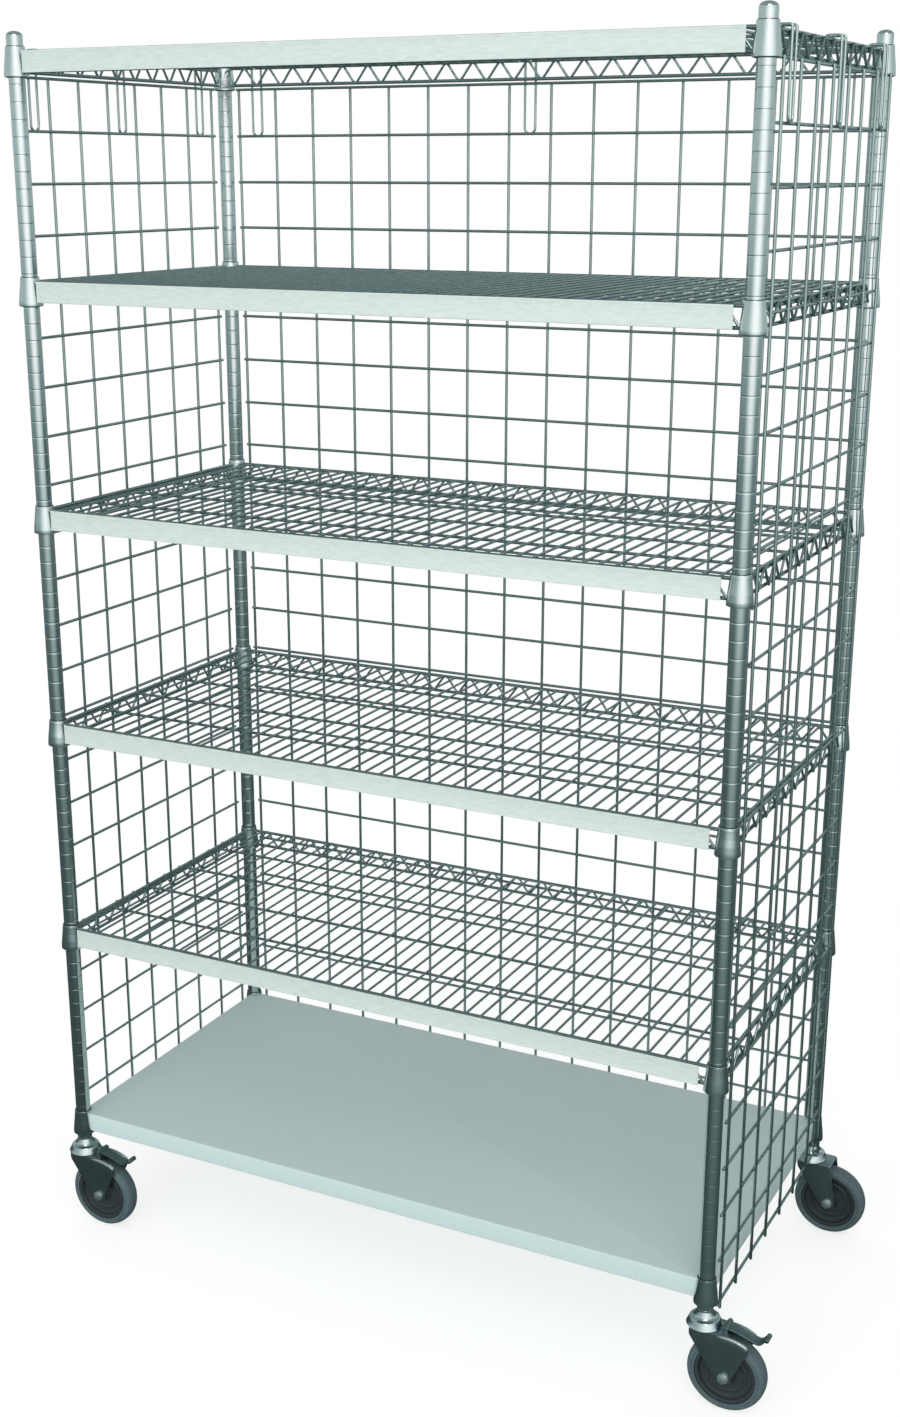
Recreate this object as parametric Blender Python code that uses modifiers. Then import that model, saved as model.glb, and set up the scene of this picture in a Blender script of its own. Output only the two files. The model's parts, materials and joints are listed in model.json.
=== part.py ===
"""Wire shelving cart, as a Blender scene.

Four tube posts on swivel casters carry five wire shelves and one solid base shelf.
Wire panels close the back and both sides, and the front is open.
Lengths are in metres and Z is up. The floor is at zero, and the origin lies on the
floor under the middle of the cart's box. The front faces -Y.
"""
import math

import bmesh
import bpy
from mathutils import Matrix, Vector

# Overall sizes
POST_SPACING_X = 1.1811
POST_SPACING_Y = 0.5715
POST_TOP = 2.025
TOP_DROP = 0.035
BASE_RISE = 0.0307
LEVEL_SHARES = (1.0, 0.811, 0.610, 0.408, 0.201)

# Running and seating clearance between neighbours
GAP = 0.0003
OVERRUN = 0.004

# Posts and their caps
POST_RADIUS = 0.0127
POST_WALL = 0.0016
CAP_DOME = 0.0088
CAP_PLUG = 0.016
CAP_STEPS = 3
ROUND_SIDES = 12
SHARP_DEGREES = 35

# Corner collars, each one solid with the split sleeve that wedges it on the post
COLLAR_HEIGHT = 0.044
COLLAR_TOP_RADIUS = 0.0163
COLLAR_BOTTOM_RADIUS = 0.019

# Wire shelf
TRUSS_HEIGHT = 0.034
FRAME_WIRE = 0.0056
DECK_WIRE = 0.004
DECK_PITCH = 0.0254
DECK_SET_IN = 0.0004
RIB_WIRE = 0.004
RIB_BAR = 0.003
RIB_LAP = 0.0016
RIB_SHARES = (-0.3, -0.1, 0.1, 0.3)
SNAKE_WIRE = 0.004
SNAKE_PITCH = 0.0508

# Flat strip along the front of each wire shelf
STRIP_HEIGHT = 0.032
STRIP_THICKNESS = 0.0015
STRIP_LEFT_GAP = 0.0006
STRIP_RIGHT_GAP = 0.008

# Solid base shelf
BASE_HEIGHT = 0.034
BASE_SHEET = 0.0015
BASE_OVERHANG = 0.004

# Wire panels
PANEL_PITCH = 0.0762
PANEL_RISE = 0.0786
PANEL_WIRE = 0.0048
PANEL_INSET = 0.0002
PANEL_TOP_DROP = 0.0206
PANEL_STANDOFF = 0.0098
HOOK_WIRE = 0.0042
HOOK_SPREAD = 0.019
HOOK_RISE = 0.0082
HOOK_LIFT = 0.0006
HOOK_TIP = 0.006
HOOK_ARC_STEPS = 4

# Caster stem and swivel head
STEM_LENGTH = 0.040
HEAD_HEIGHT = 0.0277
HEAD_RADIUS = 0.0285
HEAD_SKIRT = 0.0087
NECK_HEIGHT = 0.003
SHOULDER_RADIUS_SHARES = (0.30, 0.70)
SHOULDER_HEIGHT_SHARES = (0.80, 0.50)
KINGPIN_RADIUS = 0.006
RIVET_RADIUS = 0.009
RIVET_HEIGHT = 0.0028

# Caster fork
WHEEL_ROOM = 0.011
FORK_SHEET = 0.003
FORK_WIDTH = 0.044
FORK_NOSE = 0.018
FORK_NOSE_DROP = 0.012
FORK_BOSS_RADIUS = 0.013
CROWN_REACH = 0.046
LEG_REACH = 0.042
ARCH_END_DEGREES = 57
ARCH_STEPS = 3
BOSS_START_DEGREES = 205
BOSS_END_DEGREES = 370
BOSS_STEPS = 5
LUG_THICKNESS = 0.003
LUG_HEIGHT = 0.012
LUG_LENGTH = 0.012
LUG_LAP = 0.0012
LUG_INSET = 0.0035

# Wheel and axle
WHEEL_RADIUS = 0.0635
WHEEL_TRAIL = 0.040
TYRE_WIDTH = 0.030
TYRE_DEPTH = 0.0135
TREAD_WIDTH_SHARES = (0.27, 0.70, 1.0)
TREAD_DROP_SHARES = (0.0, 0.11, 0.37)
RIM_DEPTH = 0.006
RIM_WIDTH = 0.026
WEB_THICKNESS = 0.008
HUB_RADIUS = 0.013
HUB_WIDTH = 0.037
AXLE_RADIUS = 0.005
BOLT_HEAD_RADIUS = 0.0085
BOLT_HEAD_HEIGHT = 0.0047
WHEEL_SIDES = 24
BOLT_SIDES = 8

# Brake pedal on the two front casters
PEDAL_WIDTH = 0.020
PEDAL_THICKNESS = 0.003
PEDAL_PIVOT_X = 0.0375
PEDAL_PIVOT_RISE = 0.007
PEDAL_PIN_RADIUS = 0.0025
PEDAL_KNUCKLE_RADIUS = 0.0045
PEDAL_REACH = 0.068
PEDAL_RUN_SHARES = (0.34, 0.70, 0.83, 1.0)
PEDAL_FALL = 0.0135
PEDAL_FALL_SHARES = (0.42, 1.0, 0.85, 0.15)
PIN_SIDES = 8

CORNERS = {
    "front_left": (-1, -1),
    "front_right": (1, -1),
    "back_left": (-1, 1),
    "back_right": (1, 1),
}
BRAKED = ("front_left", "front_right")

# Sizes that follow from the ones above
FORK_TOP = 2 * WHEEL_RADIUS + WHEEL_ROOM
POST_BOTTOM = FORK_TOP + HEAD_HEIGHT + 2 * GAP
BASE_LEVEL = POST_BOTTOM + BASE_RISE
TOP_LEVEL = POST_TOP - TOP_DROP
BORE_RADIUS = POST_RADIUS + GAP
TUBE_BORE = POST_RADIUS - POST_WALL
PLUG_RADIUS = TUBE_BORE - GAP
HALF_TRUSS = TRUSS_HEIGHT / 2
DECK_TOP = HALF_TRUSS - DECK_SET_IN
SNAKE_OFFSET = FRAME_WIRE / 2 + GAP + SNAKE_WIRE / 2
STRIP_OFFSET = SNAKE_OFFSET + SNAKE_WIRE / 2 + GAP + STRIP_THICKNESS / 2
PANEL_TOP = TOP_LEVEL - PANEL_TOP_DROP
PANEL_ROOM = PANEL_TOP - PANEL_WIRE / 2 - FORK_TOP - LUG_HEIGHT
PANEL_ROWS = int(PANEL_ROOM / PANEL_RISE) + 1
PANEL_HEIGHT = (PANEL_ROWS - 1) * PANEL_RISE
PANEL_DEPTH = 2 * PANEL_WIRE + GAP
UPRIGHT_LAYER = PANEL_STANDOFF + PANEL_DEPTH - PANEL_WIRE / 2
HEAD_BOTTOM = FORK_TOP + GAP
HEAD_TOP = POST_BOTTOM - GAP
FORK_INSIDE = FORK_WIDTH - 2 * FORK_SHEET
ARCH_RADIUS = FORK_TOP - WHEEL_RADIUS
CORE_RADIUS = WHEEL_RADIUS - TYRE_DEPTH - GAP
PEDAL_HEIGHT = FORK_TOP + PEDAL_PIVOT_RISE
PEDAL_TIP_X = PEDAL_PIVOT_X + PEDAL_REACH
REACH_RIGHT = max(PEDAL_TIP_X, WHEEL_TRAIL + WHEEL_RADIUS)
REACH_LEFT = max(HEAD_RADIUS, WHEEL_RADIUS - WHEEL_TRAIL, PANEL_STANDOFF + PANEL_DEPTH)
CENTRE_SHIFT = (REACH_RIGHT - REACH_LEFT) / 2


def clear_scene():
    """Remove every object that the file opened with."""
    for item in list(bpy.data.objects):
        bpy.data.objects.remove(item, do_unlink=True)


def new_collection(name):
    """Make a collection and link it to the scene."""
    group = bpy.data.collections.new(name)
    bpy.context.scene.collection.children.link(group)
    return group


def make_material(name, colour, roughness, metallic):
    """Make a Principled material from a colour and two surface values."""
    surface = bpy.data.materials.new(name)
    surface.use_nodes = True
    shader = surface.node_tree.nodes["Principled BSDF"]
    shader.inputs["Base Color"].default_value = (*colour, 1.0)
    shader.inputs["Roughness"].default_value = roughness
    shader.inputs["Metallic"].default_value = metallic
    return surface


def make_materials():
    """Make each part's own material: plated wire, sheet, plastic and rubber."""
    return {
        "post": make_material("post_chrome", (0.62, 0.70, 0.68), 0.15, 1.0),
        "cap": make_material("cap_plated", (0.60, 0.68, 0.66), 0.22, 1.0),
        "shelf": make_material("shelf_chrome_wire", (0.42, 0.50, 0.48), 0.22, 1.0),
        "panel": make_material("panel_chrome_wire", (0.46, 0.54, 0.52), 0.24, 1.0),
        "base": make_material("base_sheet_steel", (0.40, 0.49, 0.47), 0.38, 0.9),
        "strip": make_material("strip_pale_plastic", (0.66, 0.76, 0.72), 0.35, 0.0),
        "stem": make_material("stem_zinc", (0.30, 0.35, 0.35), 0.28, 1.0),
        "fork": make_material("fork_dark_zinc", (0.12, 0.15, 0.16), 0.35, 0.9),
        "axle": make_material("axle_zinc", (0.55, 0.60, 0.60), 0.30, 1.0),
        "core": make_material("core_grey_nylon", (0.09, 0.11, 0.12), 0.45, 0.0),
        "tyre": make_material("tyre_grey_rubber", (0.06, 0.08, 0.085), 0.60, 0.0),
        "pedal": make_material("pedal_dark_steel", (0.10, 0.13, 0.13), 0.40, 0.8),
    }


def scratch_object(data):
    """Put mesh or curve data in the scene for a moment, so that it can be evaluated."""
    item = bpy.data.objects.new("scratch", data)
    bpy.context.scene.collection.objects.link(item)
    return item


def baked(item):
    """Return an object's evaluated mesh, welded, and remove the object."""
    bpy.context.view_layer.update()
    graph = bpy.context.evaluated_depsgraph_get()
    mesh = bpy.data.meshes.new_from_object(item.evaluated_get(graph))
    work = bmesh.new()
    work.from_mesh(mesh)
    bmesh.ops.transform(work, matrix=item.matrix_world, verts=work.verts)
    bmesh.ops.remove_doubles(work, verts=work.verts, dist=GAP / 100)
    work.to_mesh(mesh)
    work.free()
    bpy.data.objects.remove(item, do_unlink=True)
    return mesh


def box(low, high):
    """Return a box mesh between two corners."""
    low = Vector(low)
    high = Vector(high)
    mesh = bpy.data.meshes.new("box")
    work = bmesh.new()
    place = Matrix.Translation((low + high) / 2) @ Matrix.Diagonal((*(high - low), 1.0))
    bmesh.ops.create_cube(work, size=1.0, matrix=place)
    work.to_mesh(mesh)
    work.free()
    return mesh


def cone(bottom_radius, top_radius, low, high, sides):
    """Return an upright cylinder or cone between two heights."""
    mesh = bpy.data.meshes.new("cone")
    work = bmesh.new()
    bmesh.ops.create_cone(
        work,
        cap_ends=True,
        segments=sides,
        radius1=bottom_radius,
        radius2=top_radius,
        depth=high - low,
        matrix=Matrix.Translation((0, 0, (low + high) / 2)),
    )
    work.to_mesh(mesh)
    work.free()
    return mesh


def turned(profile, sides, closed=False):
    """Return a mesh turned about Z. The profile runs down its outer side."""
    mesh = bpy.data.meshes.new("turned")
    work = bmesh.new()
    points = [work.verts.new((radius, 0, height)) for radius, height in profile]
    for start, end in zip(points, points[1:]):
        work.edges.new((start, end))
    if closed:
        work.edges.new((points[-1], points[0]))
    work.to_mesh(mesh)
    work.free()
    item = scratch_object(mesh)
    screw = item.modifiers.new("turn", "SCREW")
    screw.axis = "Z"
    screw.angle = math.tau
    screw.steps = sides
    screw.render_steps = sides
    screw.use_merge_vertices = True
    screw.merge_threshold = GAP / 100
    return baked(item)


def plate(loops, low, high):
    """Return a flat plate between two heights: an outline and its holes."""
    curve = bpy.data.curves.new("plate", "CURVE")
    curve.dimensions = "2D"
    curve.fill_mode = "BOTH"
    curve.extrude = (high - low) / 2
    for loop in loops:
        spline = curve.splines.new("POLY")
        spline.points.add(len(loop) - 1)
        for point, (x, y) in zip(spline.points, loop):
            point.co = (x, y, 0, 1)
        spline.use_cyclic_u = True
    item = scratch_object(curve)
    item.location.z = (low + high) / 2
    return baked(item)


def wire(points, radius):
    """Return a thin four-sided wire along a list of points."""
    curve = bpy.data.curves.new("wire", "CURVE")
    curve.dimensions = "3D"
    curve.bevel_depth = radius
    curve.bevel_resolution = 0
    curve.use_fill_caps = True
    spline = curve.splines.new("POLY")
    spline.points.add(len(points) - 1)
    for point, place in zip(spline.points, points):
        point.co = (*place, 1)
    return baked(scratch_object(curve))


def moved(mesh, matrix):
    """Move a mesh by a matrix and return it."""
    mesh.transform(matrix)
    return mesh


def copied(mesh, matrix):
    """Return a moved copy of a mesh."""
    return moved(mesh.copy(), matrix)


def together(meshes):
    """Join meshes that don't touch each other into one."""
    mesh = bpy.data.meshes.new("group")
    work = bmesh.new()
    for piece in meshes:
        work.from_mesh(piece)
    work.to_mesh(mesh)
    work.free()
    return mesh


def combined(mesh, steps):
    """Apply a list of (operation, mesh) Boolean steps and return the result."""
    body = scratch_object(mesh)
    tools = []
    for operation, tool_mesh in steps:
        tool = scratch_object(tool_mesh)
        tool.hide_render = True
        tool.display_type = "WIRE"
        tools.append(tool)
        step = body.modifiers.new(operation.lower(), "BOOLEAN")
        step.operation = operation
        step.solver = "EXACT"
        step.object = tool
    result = baked(body)
    for tool in tools:
        bpy.data.objects.remove(tool, do_unlink=True)
    return result


def rectangle(left, right, near, far):
    """Return the four corners of a rectangle."""
    return [(left, near), (right, near), (right, far), (left, far)]


def at_corners(mesh):
    """Return one mesh with a copy at each of the four posts."""
    copies = []
    for side_x, side_y in CORNERS.values():
        place = Matrix.Translation((side_x * POST_SPACING_X / 2, side_y * POST_SPACING_Y / 2, 0))
        copies.append(copied(mesh, place))
    return together(copies)


def collar_meshes():
    """Return the four tapered collars and the four post bores through them."""
    half = COLLAR_HEIGHT / 2
    collar = cone(COLLAR_BOTTOM_RADIUS, COLLAR_TOP_RADIUS, -half, half, ROUND_SIDES)
    bore = cone(BORE_RADIUS, BORE_RADIUS, -half - OVERRUN, half + OVERRUN, ROUND_SIDES)
    return at_corners(collar), at_corners(bore)


def frame_mesh(low, high):
    """Return the four thick wires of one level of the trusses."""
    half_x = POST_SPACING_X / 2
    half_y = POST_SPACING_Y / 2
    edge = FRAME_WIRE / 2
    outer = rectangle(-half_x - edge, half_x + edge, -half_y - edge, half_y + edge)
    inner = rectangle(-half_x + edge, half_x - edge, -half_y + edge, half_y - edge)
    return plate([outer, inner], low, high)


def deck_wires():
    """Return the deck's front-to-back wires, their ends inside the frame's wires."""
    half_y = POST_SPACING_Y / 2
    room = POST_SPACING_X / 2 - COLLAR_BOTTOM_RADIUS - DECK_WIRE
    count = 2 * int(room / DECK_PITCH) + 1
    wires = []
    for index in range(count):
        middle = (index - (count - 1) / 2) * DECK_PITCH
        low = (middle - DECK_WIRE / 2, -half_y, DECK_TOP - DECK_WIRE)
        high = (middle + DECK_WIRE / 2, half_y, DECK_TOP)
        wires.append(box(low, high))
    return together(wires)


def rib_meshes():
    """Return the two side bars and the lengthwise ribs that they hold under the deck."""
    half_x = POST_SPACING_X / 2
    bar_end = POST_SPACING_Y / 2 - (BORE_RADIUS + COLLAR_TOP_RADIUS) / 2
    rib_top = DECK_TOP - DECK_WIRE - GAP
    bar_low = rib_top - RIB_WIRE - RIB_LAP / 2
    bar_high = HALF_TRUSS - FRAME_WIRE + RIB_LAP
    bars = []
    for side in (-1, 1):
        middle = side * half_x
        low = (middle - RIB_BAR / 2, -bar_end, bar_low)
        high = (middle + RIB_BAR / 2, bar_end, bar_high)
        bars.append(box(low, high))
    ribs = []
    for share in RIB_SHARES:
        middle = share * POST_SPACING_Y
        low = (-half_x, middle - RIB_WIRE / 2, rib_top - RIB_WIRE)
        high = (half_x, middle + RIB_WIRE / 2, rib_top)
        ribs.append(box(low, high))
    return together(bars), together(ribs)


def snake_mesh(spacing):
    """Return the zigzag wire of one truss, from collar to collar along X."""
    anchor = (BORE_RADIUS + COLLAR_TOP_RADIUS) / 2
    end = spacing / 2 - math.sqrt(anchor ** 2 - SNAKE_OFFSET ** 2)
    reach = HALF_TRUSS - FRAME_WIRE / 2 - SNAKE_WIRE / 4
    bends = 2 * int(end / SNAKE_PITCH) + 1
    half_pitch = end / bends
    points = []
    for index in range(2 * bends + 1):
        height = reach if index % 2 else -reach
        points.append((-end + index * half_pitch, 0, height))
    return wire(points, SNAKE_WIRE / 2)


def snake_meshes():
    """Return the four zigzag wires, each against the outer face of its truss."""
    long_snake = snake_mesh(POST_SPACING_X)
    short_snake = snake_mesh(POST_SPACING_Y)
    offset_x = POST_SPACING_X / 2 + SNAKE_OFFSET
    offset_y = POST_SPACING_Y / 2 + SNAKE_OFFSET
    turn = Matrix.Rotation(math.pi / 2, 4, "Z")
    snakes = []
    for side in (-1, 1):
        snakes.append(copied(long_snake, Matrix.Translation((0, side * offset_y, 0))))
        snakes.append(copied(short_snake, Matrix.Translation((side * offset_x, 0, 0)) @ turn))
    return together(snakes)


def wire_shelf_mesh():
    """Return one welded wire shelf, its middle height at zero."""
    collars, bores = collar_meshes()
    bars, ribs = rib_meshes()
    steps = [
        ("UNION", deck_wires()),
        ("UNION", collars),
        ("UNION", bars),
        ("UNION", ribs),
        ("UNION", frame_mesh(-HALF_TRUSS, -HALF_TRUSS + FRAME_WIRE)),
        ("UNION", snake_meshes()),
        ("DIFFERENCE", bores),
    ]
    return combined(frame_mesh(HALF_TRUSS - FRAME_WIRE, HALF_TRUSS), steps)


def base_shelf_mesh():
    """Return the solid shelf: a sheet with turned-down lips and four collars."""
    half_x = POST_SPACING_X / 2 + BASE_OVERHANG
    half_y = POST_SPACING_Y / 2 + BASE_OVERHANG
    half = BASE_HEIGHT / 2
    sheet = box((-half_x, -half_y, -half), (half_x, half_y, half))
    inside_x = half_x - BASE_SHEET
    inside_y = half_y - BASE_SHEET
    low = (-inside_x, -inside_y, -half - OVERRUN)
    high = (inside_x, inside_y, half - BASE_SHEET)
    collars, bores = collar_meshes()
    steps = [("DIFFERENCE", box(low, high)), ("UNION", collars), ("DIFFERENCE", bores)]
    return combined(sheet, steps)


def strip_mesh():
    """Return the flat front strip, its middle at the shelf's middle height."""
    half_depth = STRIP_THICKNESS / 2
    collar_side = math.sqrt(COLLAR_BOTTOM_RADIUS ** 2 - (STRIP_OFFSET - half_depth) ** 2)
    left = -POST_SPACING_X / 2 + collar_side + STRIP_LEFT_GAP
    right = POST_SPACING_X / 2 - collar_side - STRIP_RIGHT_GAP
    middle = -POST_SPACING_Y / 2 - STRIP_OFFSET
    half = STRIP_HEIGHT / 2
    return box((left, middle - half_depth, -half), (right, middle + half_depth, half))


def upright(mesh, depth):
    """Turn a flat plate upright, facing Y, with its middle at a depth."""
    turn = Matrix.Rotation(math.pi / 2, 4, "X")
    return moved(mesh, Matrix.Translation((0, depth, 0)) @ turn)


def panel_border(half_width):
    """Return the panel's border, where its uprights and its level wires are welded."""
    edge = PANEL_WIRE / 2
    bottom = PANEL_TOP - PANEL_HEIGHT
    outer = rectangle(-half_width - edge, half_width + edge, bottom - edge, PANEL_TOP + edge)
    inner = rectangle(-half_width + edge, half_width - edge, bottom + edge, PANEL_TOP - edge)
    mesh = plate([outer, inner], -PANEL_DEPTH / 2, PANEL_DEPTH / 2)
    return upright(mesh, PANEL_STANDOFF + PANEL_DEPTH / 2)


def panel_uprights(half_width, cells):
    """Return the uprights between the panel's ends, in the outer layer."""
    edge = PANEL_WIRE / 2
    near = UPRIGHT_LAYER - edge + PANEL_INSET
    far = UPRIGHT_LAYER + edge - PANEL_INSET
    wires = []
    for index in range(1, cells):
        middle = -half_width + index * PANEL_PITCH
        low = (middle - edge, near, PANEL_TOP - PANEL_HEIGHT)
        wires.append(box(low, (middle + edge, far, PANEL_TOP)))
    return together(wires)


def panel_rows(half_width):
    """Return the level wires between top and bottom, in the layer next to the shelves."""
    edge = PANEL_WIRE / 2
    near = PANEL_STANDOFF + PANEL_INSET
    far = PANEL_STANDOFF + PANEL_WIRE - PANEL_INSET
    wires = []
    for index in range(1, PANEL_ROWS - 1):
        middle = PANEL_TOP - index * PANEL_RISE
        low = (-half_width, near, middle - edge)
        wires.append(box(low, (half_width, far, middle + edge)))
    return together(wires)


def hook_mesh():
    """Return one leg of a hook: up behind the top truss, over its wire and down."""
    inner = -(FRAME_WIRE / 2 + GAP + HOOK_WIRE / 2)
    middle = (UPRIGHT_LAYER + inner) / 2
    half = (UPRIGHT_LAYER - inner) / 2
    spring = TOP_LEVEL + HALF_TRUSS + HOOK_LIFT
    points = [(0, UPRIGHT_LAYER, PANEL_TOP - PANEL_RISE)]
    for index in range(HOOK_ARC_STEPS + 1):
        angle = math.pi * index / HOOK_ARC_STEPS
        points.append((0, middle + half * math.cos(angle), spring + HOOK_RISE * math.sin(angle)))
    points.append((0, inner, spring - HOOK_TIP))
    return wire(points, HOOK_WIRE / 2)


def panel_mesh(spacing):
    """Return one wire panel facing +Y, with hooks in its first, middle and last cells."""
    cells = int((spacing - 2 * POST_RADIUS) / PANEL_PITCH)
    half_width = cells * PANEL_PITCH / 2
    leg = hook_mesh()
    legs = []
    for cell in (0, cells // 2, cells - 1):
        middle = -half_width + (cell + 1 / 2) * PANEL_PITCH
        for side in (-1, 1):
            legs.append(copied(leg, Matrix.Translation((middle + side * HOOK_SPREAD / 2, 0, 0))))
    steps = [
        ("UNION", panel_uprights(half_width, cells)),
        ("UNION", panel_rows(half_width)),
        ("UNION", together(legs)),
    ]
    return combined(panel_border(half_width), steps)


def post_mesh():
    """Return one tube post at its real height."""
    profile = [
        (POST_RADIUS, POST_TOP),
        (POST_RADIUS, POST_BOTTOM),
        (TUBE_BORE, POST_BOTTOM),
        (TUBE_BORE, POST_TOP),
    ]
    return turned(profile, ROUND_SIDES, closed=True)


def cap_mesh():
    """Return the domed cap that plugs the post's top end."""
    low = POST_TOP + GAP
    profile = [(0, low + CAP_DOME)]
    for index in range(CAP_STEPS):
        angle = math.pi / 2 * (index + 1) / CAP_STEPS
        profile.append((POST_RADIUS * math.sin(angle), low + CAP_DOME * math.cos(angle)))
    profile += [(PLUG_RADIUS, low), (PLUG_RADIUS, low - CAP_PLUG), (0, low - CAP_PLUG)]
    return turned(profile, ROUND_SIDES)


def stem_mesh():
    """Return the caster's stem, swivel head and kingpin, turned as one."""
    neck = HEAD_TOP - NECK_HEIGHT
    rise = neck - HEAD_BOTTOM - HEAD_SKIRT
    spread = HEAD_RADIUS - POST_RADIUS
    shoulder = []
    for across, up in zip(SHOULDER_RADIUS_SHARES, SHOULDER_HEIGHT_SHARES):
        shoulder.append((POST_RADIUS + across * spread, HEAD_BOTTOM + HEAD_SKIRT + up * rise))
    rivet_top = FORK_TOP - FORK_SHEET - GAP
    profile = [
        (0, HEAD_TOP + STEM_LENGTH),
        (PLUG_RADIUS, HEAD_TOP + STEM_LENGTH),
        (PLUG_RADIUS, HEAD_TOP),
        (POST_RADIUS, HEAD_TOP),
        (POST_RADIUS, neck),
        *shoulder,
        (HEAD_RADIUS, HEAD_BOTTOM + HEAD_SKIRT),
        (HEAD_RADIUS, HEAD_BOTTOM),
        (KINGPIN_RADIUS, HEAD_BOTTOM),
        (KINGPIN_RADIUS, rivet_top),
        (RIVET_RADIUS, rivet_top),
        (RIVET_RADIUS, rivet_top - RIVET_HEIGHT),
        (0, rivet_top - RIVET_HEIGHT),
    ]
    return turned(profile, ROUND_SIDES)


def arc(centre, radius, start, end, steps):
    """Return points along an arc, its angles in degrees."""
    points = []
    for index in range(steps + 1):
        angle = math.radians(start + (end - start) * index / steps)
        points.append((centre[0] + radius * math.cos(angle), centre[1] + radius * math.sin(angle)))
    return points


def fork_blank(braked):
    """Return the fork's side outline, as deep as the fork is wide."""
    axle = (WHEEL_TRAIL, WHEEL_RADIUS)
    if braked:
        outline = arc(axle, ARCH_RADIUS, ARCH_END_DEGREES, 90, ARCH_STEPS)
    else:
        outline = [(LEG_REACH, FORK_TOP)]
    outline += [(-FORK_NOSE, FORK_TOP), (-FORK_NOSE, FORK_TOP - FORK_NOSE_DROP)]
    outline += arc(axle, FORK_BOSS_RADIUS, BOSS_START_DEGREES, BOSS_END_DEGREES, BOSS_STEPS)
    return upright(plate([outline], -FORK_WIDTH / 2, FORK_WIDTH / 2), 0)


def fork_hollow():
    """Return the space between the cheeks, under the crown and open in front of it."""
    back = -FORK_NOSE - OVERRUN
    front = WHEEL_TRAIL + ARCH_RADIUS + OVERRUN
    outline = [
        (back, FORK_TOP - FORK_SHEET),
        (back, 0),
        (front, 0),
        (front, FORK_TOP + OVERRUN),
        (CROWN_REACH, FORK_TOP + OVERRUN),
        (CROWN_REACH, FORK_TOP - FORK_SHEET),
    ]
    return upright(plate([outline], -FORK_INSIDE / 2, FORK_INSIDE / 2), 0)


def lug_meshes():
    """Return the two lugs on the fork that hold the pedal's pin."""
    left = PEDAL_PIVOT_X - LUG_LENGTH / 2
    low = FORK_TOP - LUG_LAP
    lugs = []
    for side in (-1, 1):
        outside = side * (FORK_WIDTH / 2 - LUG_INSET)
        inside = outside - side * LUG_THICKNESS
        near = min(outside, inside)
        far = max(outside, inside)
        lugs.append(box((left, near, low), (left + LUG_LENGTH, far, FORK_TOP + LUG_HEIGHT)))
    return together(lugs)


def crossways(mesh, x, z):
    """Turn an upright round mesh to lie along Y, with its middle at x and z."""
    turn = Matrix.Rotation(math.pi / 2, 4, "X")
    return moved(mesh, Matrix.Translation((x, 0, z)) @ turn)


def fork_mesh(braked):
    """Return a caster fork about its swivel axis: arched for a brake, or with plain legs."""
    reach = FORK_WIDTH / 2 + OVERRUN
    kingpin_hole = cone(
        KINGPIN_RADIUS + GAP,
        KINGPIN_RADIUS + GAP,
        FORK_TOP - FORK_SHEET - OVERRUN,
        FORK_TOP + OVERRUN,
        ROUND_SIDES,
    )
    axle_radius = AXLE_RADIUS + GAP
    axle_hole = crossways(
        cone(axle_radius, axle_radius, -reach, reach, BOLT_SIDES), WHEEL_TRAIL, WHEEL_RADIUS
    )
    steps = [
        ("DIFFERENCE", fork_hollow()),
        ("DIFFERENCE", kingpin_hole),
        ("DIFFERENCE", axle_hole),
    ]
    if braked:
        pin_radius = PEDAL_PIN_RADIUS + GAP
        pin_hole = cone(pin_radius, pin_radius, -reach, reach, PIN_SIDES)
        steps.append(("UNION", lug_meshes()))
        steps.append(("DIFFERENCE", crossways(pin_hole, PEDAL_PIVOT_X, PEDAL_HEIGHT)))
    return combined(fork_blank(braked), steps)


def axle_mesh():
    """Return the axle bolt with its head and nut, about its own middle, along Y."""
    seat = FORK_WIDTH / 2 + GAP
    end = seat + BOLT_HEAD_HEIGHT
    profile = [
        (0, end),
        (BOLT_HEAD_RADIUS, end),
        (BOLT_HEAD_RADIUS, seat),
        (AXLE_RADIUS, seat),
        (AXLE_RADIUS, -seat),
        (BOLT_HEAD_RADIUS, -seat),
        (BOLT_HEAD_RADIUS, -end),
        (0, -end),
    ]
    return crossways(turned(profile, BOLT_SIDES), 0, 0)


def wheel_round(profile):
    """Turn a wheel's profile about the axle. Its flats touch the real radii, one down."""
    side_angle = math.pi / WHEEL_SIDES
    wide = [(radius / math.cos(side_angle), height) for radius, height in profile]
    mesh = turned(wide, WHEEL_SIDES, closed=True)
    return crossways(moved(mesh, Matrix.Rotation(side_angle, 4, "Z")), 0, 0)


def wheel_core_mesh():
    """Return the wheel's hub, web and rim, about the axle."""
    bore = AXLE_RADIUS + GAP
    rim_inside = CORE_RADIUS - RIM_DEPTH
    profile = [
        (CORE_RADIUS, RIM_WIDTH / 2),
        (CORE_RADIUS, -RIM_WIDTH / 2),
        (rim_inside, -RIM_WIDTH / 2),
        (rim_inside, -WEB_THICKNESS / 2),
        (HUB_RADIUS, -WEB_THICKNESS / 2),
        (HUB_RADIUS, -HUB_WIDTH / 2),
        (bore, -HUB_WIDTH / 2),
        (bore, HUB_WIDTH / 2),
        (HUB_RADIUS, HUB_WIDTH / 2),
        (HUB_RADIUS, WEB_THICKNESS / 2),
        (rim_inside, WEB_THICKNESS / 2),
        (rim_inside, RIM_WIDTH / 2),
    ]
    return wheel_round(profile)


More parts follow.
